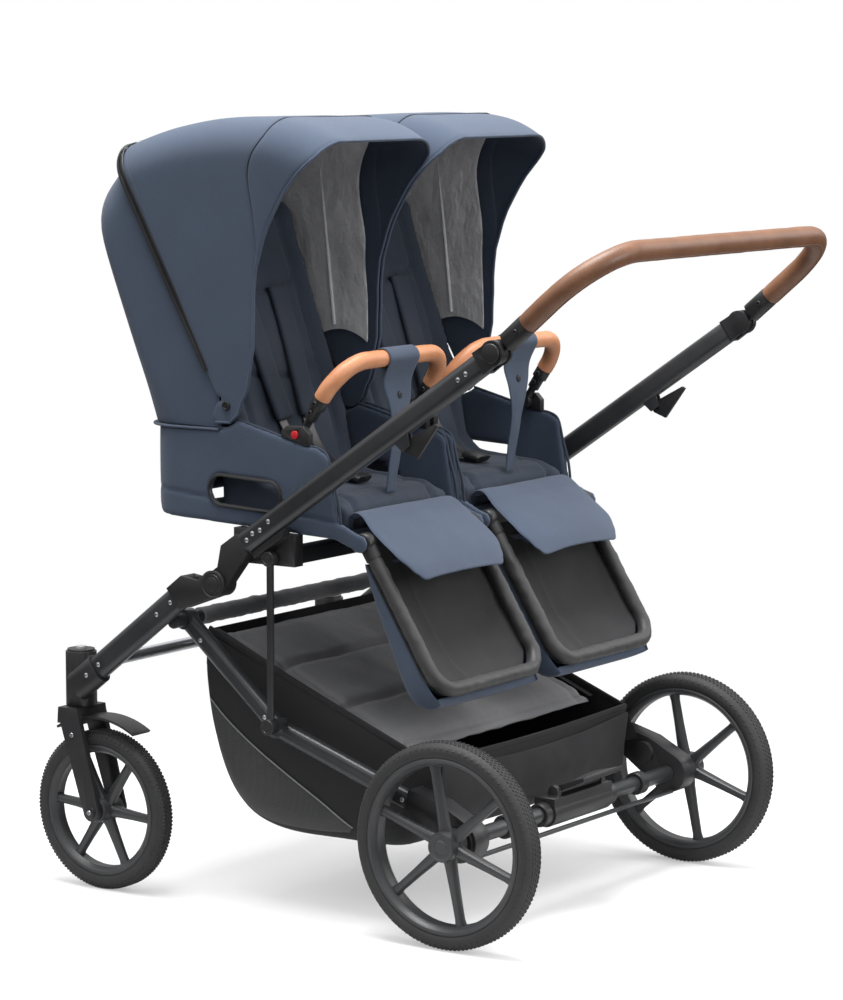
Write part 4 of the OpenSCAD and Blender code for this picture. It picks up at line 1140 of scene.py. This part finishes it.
def make_leg_rest(side, g):
    rest, seat = f"leg_rest_{side}", f"seat_{side}"
    path = dense([leg_point(g, x, a, 0) for x, a in u_path(LEG_HALF, 0.014, LEG_REACH, 0.040)], 0.005)
    sleeve = piece(f"leg_sleeve_{side}", wrinkled_sleeve(path, 0.0118, 0.0013, 60, g).mesh("sleeve"), sleeve_cloth,
                   rest, [f"leg_frame_{side}"], 70)
    knobs = []
    for flip in (-1, 1):
        profile = [(flip * (LEG_HALF + x) + g * SEAT_X, r) for x, r in (
            (-0.007, 0.0001), (-0.007, 0.0155), (-0.005, 0.0165), (0.009, 0.0165), (0.012, 0.0150), (0.0135, 0.0125),
            (0.0135, 0.0095), (0.0125, 0.0088), (0.0125, 0.0001))]
        knobs.append(Shape().turned(profile, LEG_PIN, 40).mesh("knob"))
        knobs.append(Shape().sweep([leg_point(g, flip * LEG_HALF, a, 0) for a in (0.008, 0.014, 0.026, 0.030)],
                                   round_section(0.0137, 20)).mesh("collar"))
    piece(f"leg_knobs_{side}", joined("knobs", knobs), casting_black, rest, sharp=35)

    panel = []
    for j in range(21):
        along = 0.004 + 0.254 * j / 20
        row = []
        for i in range(25):
            t = 2 * i / 24 - 1
            half = LEG_HALF - 0.003 - 0.030 * ramp(along, 0.222, 0.262)
            dip = 0.026 * (1 - abs(t) ** 2.6) * math.sin(math.pi * min(1, max(0, (along + 0.02) / 0.29))) ** 0.6
            dip -= 0.005 * groove(t - 0.36, 0.035, 1)
            point = leg_point(g, t * half, along, -0.0095 - dip)
            row.append(point + Vector((0, 0.5, 0.5)) * creased(point, 15, 0.0045, g + 40))
        panel.append(row)
    cloth_sheet(f"calf_panel_{side}", panel, 0.0018, calf_cloth, rest)
    seam = [panel[j][int(24 * 0.68)] + Vector((0, 0.0011, 0.0008)) for j in range(1, 20)]
    thread_line(f"calf_stitches_{side}", [seam], 0.004, thread_black, rest)

    bag = []
    depths = ((0.028, 0.020), (0.060, 0.036), (0.120, 0.052), (0.180, 0.062), (0.230, 0.074), (0.262, 0.072),
              (0.276, 0.056), (0.283, 0.036), (0.2835, 0.022))
    for along, depth in depths:
        row = []
        for i in range(33):
            a = math.pi * i / 32
            x = (0.1545 - 0.012 * ramp(along, 0.25, 0.283)) * math.copysign(abs(math.cos(a)) ** 0.34, math.cos(a))
            point = leg_point(g, x, along, -0.013 - (depth - 0.0125) * math.sin(a) ** 0.5)
            row.append(point + Vector((0, -0.7, -0.3)) * creased(point, 9, 0.0035, g + 50) * math.sin(a))
        bag.append(row)
    across_half = [math.cos(math.pi * i / 32) for i in range(33)]
    bag.append([leg_point(g, 0.140 * math.copysign(abs(c) ** 0.34, c), 0.272, -0.016) for c in across_half])
    cloth_sheet(f"leg_bag_{side}", bag, 0.002, shell_cloth, rest, [f"leg_rest_{side}"])
    lip = [leg_point(g, x * 1.045, a + 0.0015, -0.0125) for x, a in u_path(LEG_HALF, 0.034, LEG_REACH, 0.040, 12)]
    trim(f"leg_bag_zip_{side}", lip, 0.0016, zip_black, rest, flat=(0.0050, 0.0022))
    zip_lip = [leg_point(g, x * 1.058, a + 0.003, -0.0125) for x, a in u_path(LEG_HALF, 0.034, LEG_REACH, 0.040, 12)]
    zip_teeth(f"leg_bag_teeth_{side}", zip_lip, (0, 0, 0.0018), (0.0013, 0.0013), rest)

    fall = smooth(in_plane(((0.036, 0.652), (0.052, 0.664), (0.070, 0.662), (0.088, 0.650), (0.112, 0.634),
                            (0.142, 0.611), (0.163, 0.589), (0.176, 0.568))), 4)
    flap = []
    for j in range(len(fall)):
        v = j / (len(fall) - 1)
        half, row = 0.134 + 0.010 * ramp(v, 0.2, 0.6), []
        for i in range(25):
            t = 2 * i / 24 - 1
            tuck = v * (1 - 0.13 * ramp(abs(t), 0.72, 1.0) ** 1.5)
            k = tuck * (len(fall) - 1)
            low, share = int(k), k - int(k)
            on = fall[low].lerp(fall[min(low + 1, len(fall) - 1)], share)
            x = half * (t - 0.10 * ramp(v, 0.8, 1.0) * math.copysign(ramp(abs(t), 0.75, 1.0), t))
            droop = -0.010 * abs(t) ** 2.5 * ramp(v, 0.15, 0.7)
            point = Vector((g * SEAT_X + x, on.y, on.z + droop))
            row.append(point + Vector((0, 0.4, 0.6)) * creased(point, 10, 0.0026, g + 60))
        flap.append(row)
    made = cloth_sheet(f"leg_flap_{side}", flap, 0.0034, shell_cloth, rest, ())
    across_joint(made)
    outline = [row[0] for row in flap[4:]] + flap[-1] + [row[-1] for row in reversed(flap[4:])]
    return made, outline


flaps = {}
for side, g in SIDES:
    flap, outline = make_leg_rest(side, g)
    flaps[side] = flap
print("leg rests done")

# %% [markdown]
# ## Basket
# The basket is a sagging bag hung between the front cross tube of the rear frame and the rear legs. A padded
# cover zips on top of it; low on its sides are panels of open mesh edged with grey piping.


# %% Basket bag, mesh and cover
BAG_HALF, BAG_LOWEST = 0.302, 0.1135
BAG_LINE = smooth(in_plane((
    (-0.250, 0.450), (-0.2505, 0.395), (-0.250, 0.330), (-0.236, 0.240), (-0.192, 0.152), (-0.120, 0.1215),
    (0.0, 0.119), (0.108, 0.122), (0.160, 0.152), (0.186, 0.205), (0.192, 0.262), (0.190, 0.2725))), 3)
RIM_START, RIM_END = Vector((0, -0.250, 0.4505)), Vector((0, 0.190, 0.273))


def bag_rows(half, inset, corner, steps=9, seed=0.0, depth=0.004):
    rows = []
    for spot in BAG_LINE:
        share = min(1, max(0, (spot.y + 0.25) / 0.44))
        spine = RIM_START.lerp(RIM_END, share)
        reach = max(0.0012, (spot - spine).length - inset)
        way = (spot - spine).normalized() if (spot - spine).length > 1e-4 else Vector((0, 0, -1))
        row = []
        for r, x in section_line(half, reach, min(corner, reach * 0.7), 0.0, steps):
            point = spine + way * r
            point.x = x
            sway = creased(point, 6, depth, seed) * ramp(r, 0.01, 0.08)
            row.append(Vector((x + math.copysign(sway, x) * 0.8 - sway * 0.2, point.y,
                               max(BAG_LOWEST, point.z + sway * 0.5))))
        rows.append(row)
    return rows


bag = cloth_sheet("basket_bag", bag_rows(BAG_HALF, 0.0, 0.055), 0.002, black_cloth, "rear_frame",
            ["basket"])

mesh_recipe = Recipe("open_black_mesh", Sheen_Weight=0.3)
cells = mesh_recipe.node("ShaderNodeTexVoronoi", dict(feature="F1"), {
    "Vector": mesh_recipe.cloth_place((1, 1, 0)), "Scale": 420, "Randomness": 0.12})
net = cells.above(0.30, 0.52)
mesh_cloth = mesh_recipe.feed(Base_Color=mesh_recipe.blend(net, (0.003, 0.003, 0.003), (0.020, 0.020, 0.022)),
                              Roughness=net * 0.2 + 0.6, Normal=mesh_recipe.relief(net, 0.0006, 1.0))


def side_point(flip, y, z, off):
    """A point on the outside of the bag, off metres proud of its cloth."""
    hit, spot, _, _ = bag.ray_cast(Vector((flip * 0.4, y, z)), Vector((-flip, 0, 0)))
    return Vector(((spot.x if hit else flip * BAG_HALF) + flip * off, y, z))


def make_mesh_panel(name, flip):
    top = smooth(in_plane(((-0.243, 0.335), (-0.205, 0.300), (-0.150, 0.262), (-0.080, 0.222), (-0.010, 0.182),
                           (0.040, 0.150))), 5)
    low = smooth(in_plane(((-0.236, 0.300), (-0.222, 0.235), (-0.190, 0.172), (-0.130, 0.139), (-0.040, 0.134),
                           (0.030, 0.140))), 5)
    rows = [[side_point(flip, *a.lerp(b, j / 8).yz, 0.0014) for a, b in zip(top, low)] for j in range(9)]
    cloth_sheet(f"basket_mesh_{name}", rows, 0.0008, mesh_cloth, "rear_frame")
    line = [side_point(flip, *p.yz, 0.0020) for p in top]
    trim(f"basket_piping_{name}", line, 0.0013, piping_cloth, "rear_frame")
    rim = smooth(in_plane(((-0.246, 0.4505), (-0.12, 0.398), (0.0, 0.349), (0.12, 0.301), (0.188, 0.2735)),
                          flip * (BAG_HALF - 0.0005)), 6)
    trim(f"basket_rim_{name}", rim, 0.0045, black_cloth, "rear_frame", flat=(0.006, 0.010),
         up=(1, 0, 0))


for side, g in SIDES:
    make_mesh_panel(side, g)
back_rim = [Vector((BAG_HALF * (1 - i / 12), 0.191, 0.274 - 0.006 * math.sin(math.pi * i / 24))) for i in range(25)]
trim("basket_rim_back", back_rim, 0.0045, black_cloth, "rear_frame", flat=(0.010, 0.006),
     up=(0, 0, 1))

COVER_BACK, COVER_SLOPE, COVER_HALF, COVER_SEAMS = -0.2405, -0.4425, 0.2965, (-0.118, 0.004)
quilt = [(COVER_BACK, 0.4455), (0.128, 0.2825), (0.1325, 0.2765), (0.1325, 0.2715), (0.127, 0.2705),
         (COVER_BACK, 0.4335)]
rows = [in_plane(quilt, COVER_HALF * (1 - 2 * i / 24)) for i in range(25)]
cover_mesh = bmesh.new()
cover_mesh.from_mesh(Shape().grid(rows, around=True, ends=True).mesh("cover_base"))
cover = remeshed("basket_quilt", cover_mesh, 0.0055, grey_cloth, "rear_frame", ["basket_cover"], 3)
inflate(cover, 4, 0.007)


def quilt_depth(p, n):
    depth = 0
    if n.z > 0.3:
        for line in COVER_SEAMS:
            depth += groove(p.y - line, 0.0070, 0.009)
        depth += groove(abs(p.x) - 0.262, 0.0055, 0.006) + groove(p.y - 0.114, 0.0055, 0.006)
    return depth - creased(p, 14, 0.0024, 3)


polish(press(cover, quilt_depth))
for side, g in SIDES:
    edge = [Vector((g * 0.2925, y, 0.4500 + (y - COVER_BACK) * COVER_SLOPE))
            for y in (-0.238 + 0.366 * i / 16 for i in range(17))]
    trim(f"cover_zip_tape_{side}", edge, 0.001, zip_black, "rear_frame", flat=(0.0120, 0.0016),
         up=(1, 0, 0))
    zip_teeth(f"cover_zip_teeth_{side}", [p + Vector((0, 0, 0.0012)) for p in edge], (0, 0.0022, 0),
              (0.0013, 0.0014), "rear_frame")
seams = [[cover.ray_cast(Vector((0.258 - 0.516 * i / 40, line, 0.6)), Vector((0, 0, -1)))[1] + Vector((0, 0, 0.0003))
          for i in range(41)] for line in COVER_SEAMS]
thread_line("cover_stitches", seams, 0.005, piping_cloth, "rear_frame")
sleeve_path = [Vector((COVER_HALF * (1 - 2 * i / 90), -0.270, 0.468)) for i in range(91)]
sleeve = wrinkled_sleeve(sleeve_path, 0.0142, 0.0016, 45, 8, 24)
piece("basket_sleeve", sleeve.mesh("sleeve"), grey_cloth, "rear_frame", sharp=70)

pocket = []
for j in range(9):
    v, row = j / 8, []
    for i in range(41):
        t = 2 * i / 40 - 1
        point = Vector((t * 0.288, 0.196 + 0.010 * v + 0.010 * (1 - t * t) * math.sin(math.pi * v),
                        0.270 - 0.100 * (1 - v)))
        point.z -= 0.016 * (1 - t * t) * v
        row.append(point + Vector((0, 1, 0)) * creased(point, 12, 0.004, 70))
    pocket.append(row)
cloth_sheet("basket_pocket", pocket, 0.0018, black_cloth, "rear_frame", ())
print("basket done")

# %% [markdown]
# ## Leather grips and straps
# The handle and both bumper bars have stitched leather sleeves. The seam runs along the inside of the bend,
# where the edges of the leather meet. A cloth strap loops round each bumper bar and buttons to the seat.


# %% Grips
def leather_sleeve(name, path, radius, finish, body, node):
    shape, count, steps = Shape(), len(path), 28
    shape.sweep(path, round_section(radius, steps))
    for i in range(count):
        at_end = min(i, count - 1 - i)
        swell = 1.0 - 0.06 * math.exp(-at_end / 1.2)
        for k in range(steps):
            point = shape.points[i * steps + k]
            away = point - path[i]
            point += away * (swell - 1) + away.normalized() * creased(point, 26, 0.00045, 4)
    return piece(name, shape.mesh(name), finish, body, [node], 70)


HANDLE_PIN, HANDLE_TURN, HANDLE_HALF, HANDLE_REACH = (0.36484, 0.93839), 40.5, 0.379, 0.237
BAR_PIN, BAR_TURN, BAR_HALF, BAR_REACH = (-0.035, 0.787), 56, 0.153, 0.140
handle_at, bar_at = turned_frame(HANDLE_PIN, HANDLE_TURN), turned_frame(BAR_PIN, BAR_TURN)
path = dense([handle_at(x, a) for x, a in u_path(HANDLE_HALF, 0.0703, HANDLE_REACH, 0.110, 14)], 0.006)
leather_sleeve("handle_leather", path, 0.0168, handle_leather, "handle", "handle_grip")
seam = [handle_at(x, a, -0.0171) for x, a in u_path(HANDLE_HALF, 0.074, HANDLE_REACH, 0.110, 14)]
trim("handle_seam", seam, 0.0006, handle_leather, "handle")
rows = [[handle_at(x + s * 0.0022, a, -0.0169) for x, a in u_path(HANDLE_HALF, 0.074, HANDLE_REACH, 0.110, 14)]
        for s in (-1, 1)]
thread_line("handle_stitches", rows, 0.0045, thread_tan, "handle")
for side, g in SIDES:
    mid = g * SEAT_X
    path = dense([bar_at(mid + x, a) for x, a in u_path(BAR_HALF, 0.0703, BAR_REACH, 0.065, 12)], 0.005)
    leather_sleeve(f"bumper_leather_{side}", path, 0.0139, bar_leather, f"bumper_{side}",
                   f"bumper_grip_{side}")
    rows = [[bar_at(mid + x, a, -0.0140)
             for x, a in u_path(BAR_HALF + s * 0.0018, 0.073, BAR_REACH + s * 0.0018, 0.065, 12)] for s in (-1, 1)]
    thread_line(f"bumper_stitches_{side}", rows, 0.0042, thread_tan, f"bumper_{side}")


# %% Crotch straps
def make_strap(side, g):
    mid, top = g * SEAT_X, bar_at(0, BAR_REACH)
    front = in_plane(((0.0445, 0.868), (0.0475, 0.835), (0.0470, 0.800), (0.0430, 0.765), (0.0375, 0.730),
                      (0.0330, 0.700), (0.0310, 0.6835)))
    line = [top + 0.0162 * Vector((0, math.cos(a), math.sin(a))) for a in
            (math.radians(282 - 294 * i / 22) for i in range(23))]
    line += smooth([line[-1]] + front, 4)[1:]
    total = [0.0]
    for a, b in zip(line, line[1:]):
        total.append(total[-1] + (b - a).length)
    rows = []
    for spot, far in zip(line, total):
        share = far / total[-1]
        half = 0.0420 - 0.0270 * ramp(share, 0.34, 0.72) - 0.0025 * ramp(share, 0.72, 1.0)
        rows.append([Vector((mid + half * (2 * i / 12 - 1),
                             spot.y + creased(Vector((mid + i * 0.004, spot.y, spot.z)), 18, 0.0012, g), spot.z))
                     for i in range(13)])
    strap = cloth_sheet(f"crotch_strap_cloth_{side}", rows, 0.0028, shell_cloth, f"bumper_{side}",
                        [f"crotch_strap_{side}"])
    across_joint(strap)


def snap_cap(name, centre, way, body, radius=0.006):
    profile = [(0.0, 0.0001), (0.0, radius), (0.0012, radius), (0.0026, radius * 0.85), (0.0030, radius * 0.5),
               (0.0026, radius * 0.42), (0.0026, 0.0001)]
    cap = Shape().turned(profile, (0, 0), 24).mesh(name)
    turn = Vector((1, 0, 0)).rotation_difference(Vector(way)).to_matrix().to_4x4()
    cap.transform(Matrix.Translation(centre) @ turn)
    return piece(name, cap, casting_black, body)


for side, g in SIDES:
    make_strap(side, g)
    snap_cap(f"strap_snap_{side}", (g * SEAT_X, 0.0475, 0.842), (0, 1, 0.1), f"bumper_{side}")
print("grips and straps done")

# %% [markdown]
# ## Rivets, screws and caps
# Small fasteners make the tubes and castings readable. One rivet and one socket screw are modelled, and the
# tree sets copies of them wherever the frame is joined, turned to face outwards.


# %% Fasteners
def ring_at(x, r, steps):
    return [(x, r * math.cos(2 * math.pi * i / steps), r * math.sin(2 * math.pi * i / steps)) for i in range(steps)]


def socket_screw(radius, height):
    """A cap head with a six-sided recess, its axis along X."""
    steps = 18
    rows = [ring_at(x, r, steps) for x, r in ((0.0, radius), (height * 0.7, radius), (height, radius * 0.86))]

    def hexed(r, x):
        row = []
        for i in range(steps):
            a = 2 * math.pi * i / steps
            flat = math.cos(math.pi / 6) / math.cos((a % (math.pi / 3)) - math.pi / 6)
            row.append((x, r * flat * math.cos(a), r * flat * math.sin(a)))
        return row

    rows += [hexed(radius * 0.55, height), hexed(radius * 0.5, height * 0.4)]
    return Shape().grid(rows, around=True, ends=True)


def dome_rivet(radius, height):
    rows = [(0.0, radius), (height * 0.35, radius * 0.98), (height * 0.75, radius * 0.74), (height, radius * 0.34)]
    return Shape().grid([ring_at(x, r, 16) for x, r in rows], around=True, ends=True)


screw_item = hidden_item("socket_screw", socket_screw(0.0042, 0.0026))
rivet_item = hidden_item("dome_rivet", dome_rivet(0.0040, 0.0020))


def fasteners(name, item, spots, finish, body):
    """spots is a list of (place, way out)."""
    seeds = seed_mesh(name, [p for p, _ in spots], facing=[w for _, w in spots])
    return piece(name, grow(on_points_tree, seeds, Item=item, Finish=finish), finish, body, sharp=30)


FOLD_PIN, PUSH_RISE, FRONT_RISE = (-0.166, 0.542), 34.5, 38
push_at, front_at = turned_frame(FOLD_PIN, PUSH_RISE), turned_frame(FOLD_PIN, FRONT_RISE)
push_spots, front_spots, rear_spots = [], [], []
for side, g in SIDES:
    out = Vector((g, 0, 0))
    for along in (0.096, 0.112, 0.128, 0.150, 0.585, 0.602):
        push_spots.append((push_at(g * 0.3908, along, 0.026 + 0.003 * (along in (0.112, 0.150))), out))
    for along, x in ((0.096, 0.3908), (0.132, 0.3908), (0.285, 0.3948), (0.318, 0.3948)):
        front_spots.append((front_at(g * x, -along, 0.026), out))
    for y, z in ((-0.235, 0.4365), (-0.105, 0.3225), (0.165, 0.219)):
        rear_spots.append((Vector((g * 0.3408, y, z)), out))
fasteners("push_rivets", rivet_item, push_spots, zinc_screw, "push_frame")
fasteners("front_rivets", rivet_item, front_spots, zinc_screw, "front_frame")
fasteners("rear_rivets", rivet_item, rear_spots, zinc_screw, "rear_frame")


# %% Hinge caps, knobs and lever
def cap_rings(name, profile, centre, body, finish=casting_black):
    """The same cap on both ends of a pin."""
    meshes = [Shape().turned([(flip * x, r) for x, r in profile], centre, 48).mesh("cap") for flip in (-1, 1)]
    return piece(name, joined(name, meshes), finish, body, sharp=28)


cap_rings("fold_hinge_caps", [
    (0.3965, 0.0001), (0.3965, 0.0215), (0.3990, 0.0225), (0.3996, 0.0205), (0.3984, 0.0188), (0.3984, 0.0170),
    (0.3997, 0.0160), (0.3997, 0.0125), (0.3988, 0.0118), (0.3988, 0.0001)], FOLD_PIN, "front_frame")
cap_rings("fold_hinge_discs", [
    (0.3980, 0.0001), (0.3980, 0.0104), (0.3996, 0.0102), (0.3999, 0.0088), (0.3992, 0.0080), (0.3992, 0.0001)],
    FOLD_PIN, "front_frame", wheel_grey)
cap_rings("strut_top_caps", [
    (0.3815, 0.0001), (0.3815, 0.0118), (0.3838, 0.0122), (0.3848, 0.0112), (0.3848, 0.0085), (0.3838, 0.0078),
    (0.3838, 0.0001)],
    (-0.066, 0.589), "strut_pair")
cap_rings("strut_low_caps", [
    (0.3855, 0.0001), (0.3855, 0.0126), (0.3875, 0.0130), (0.3886, 0.0120), (0.3886, 0.0090), (0.3876, 0.0082),
    (0.3876, 0.0001)],
    (-0.066, 0.317), "strut_pair")
handle_screws = []
for side, g in SIDES:
    for flip in (-1, 1):
        handle_screws.append((handle_at(g * HANDLE_HALF + flip * 0.0118, 0.052), Vector((flip, 0, 0))))
    spots = [(Vector((g * FRONT_WHEEL_X + flip * x, y, z)), Vector((flip, 0, 0)))
             for flip in (-1, 1) for x, y, z in ((0.0418, -0.427, 0.135), (0.0378, -0.466, 0.262))]
    fasteners(f"fork_screws_{side}", screw_item, spots, zinc_screw, f"caster_{side}")
    knob = Shape().turned([(g * x, r) for x, r in (
        (0.3985, 0.0001), (0.3985, 0.0040), (0.3996, 0.0050), (0.3999, 0.0105), (0.3990, 0.0120), (0.3990, 0.0001))],
                          HANDLE_PIN, 36)
    piece(f"handle_button_ring_{side}", knob.mesh("ring"), wheel_grey, f"handle_button_{side}", sharp=28)
    screws = [(bar_at(g * SEAT_X + flip * BAR_HALF + face * off, along), Vector((face, 0, 0)))
              for flip in (-1, 1) for face in (-1, 1) for off, along in ((0.0126, 0.061), (0.0096, 0.043))]
    fasteners(f"bumper_screws_{side}", screw_item, screws, casting_black, f"bumper_{side}")
fasteners("handle_screws", screw_item, handle_screws, casting_black, "handle")

lever = []
for j in range(13):
    v = j / 12
    row = []
    half = 0.060 - 0.012 * ramp(v, 0.5, 1.0) - 0.010 * (1 - ramp(v, 0.0, 0.3))
    for i in range(17):
        t = 2 * i / 16 - 1
        crown = 0.0055 * (1 - t * t) * math.sin(math.pi * v)
        rib = 0.0012 * (i % 2) * ramp(v, 0.4, 0.6)
        row.append(Vector((half * t, 0.281 + 0.048 * v, 0.2035 + 0.0205 * v + crown + rib)))
    lever.append(row)
lever_mesh = Shape().grid(lever).mesh("lever")
pedal = piece("pedal_tread", lever_mesh, casting_black, "brake_pedal")
solid = pedal.modifiers.new("lever thickness", "SOLIDIFY")
solid.thickness, solid.offset = 0.005, 0
subd = pedal.modifiers.new("smooth lever", "SUBSURF")
subd.levels = subd.render_levels = 1
apply_all(pedal)
shade(pedal.data, 50)
collars = []
for x0, x1 in ((-0.110, -0.0905), (0.0905, 0.110), (-0.215, -0.195), (0.195, 0.215)):
    profile = [(x0, 0.0135), (x0, 0.0175), (x0 + 0.002, 0.0195), (x1 - 0.002, 0.0195), (x1, 0.0175), (x1, 0.0135),
               (x0, 0.0135)]
    collars.append(Shape().turned(profile, REAR_AXLE, 40).mesh("collar"))
piece("axle_collars", joined("collars", collars), casting_black, "rear_frame", sharp=30)

# %% [markdown]
# ## Harness
# Each seat holds a five-point harness. Flat webbing is modelled directly, because an even remesh would erase
# it. The shoulder pads lie on the backrest and the straps run down to a small buckle.


# %% Harness pieces
def strip(name, line, width, thick, finish, body):
    line = smooth(line, 5)
    rows = []
    for k, spot in enumerate(line):
        ahead = (line[min(k + 1, len(line) - 1)] - line[max(k - 1, 0)]).normalized()
        side_way = ahead.cross(Vector((0, 0.8, 0.6))).normalized()
        rows.append([spot + side_way * width * (i / 6 - 0.5) for i in range(7)])
    return cloth_sheet(name, rows, thick, finish, body, ())


for side, g in SIDES:
    mid, seat = g * SEAT_X, f"seat_{side}"
    for flip in (-1, 1):
        where = "outer" if flip == g else "inner"
        line = [Vector((mid + flip * x, y, z)) for x, y, z in (
            (0.050, -0.2585, 1.046), (0.049, -0.240, 1.000), (0.047, -0.2215, 0.952), (0.044, -0.2035, 0.904),
            (0.040, -0.184, 0.850), (0.034, -0.160, 0.790), (0.026, -0.128, 0.742), (0.015, -0.078, 0.712),
            (0.008, -0.050, 0.7045))]
        strip(f"harness_web_{side}_{where}", line, 0.024, 0.0016, zip_black, seat)
        pad_line = [p + Vector((0, 0.0060, 0.0042)) for p in line[1:6]]
        strip(f"harness_pad_{side}_{where}", pad_line, 0.046, 0.0095, pad_cloth, seat)
    spine = in_plane(((-0.052, 0.7055), (-0.050, 0.7065), (-0.024, 0.7015), (-0.022, 0.7000)), mid)
    buckle = Shape().sweep(spine, flat_section(0.040, 0.013, 5))
    piece(f"harness_buckle_{side}", buckle.mesh("buckle"), casting_black, seat, sharp=40)
print("details done")
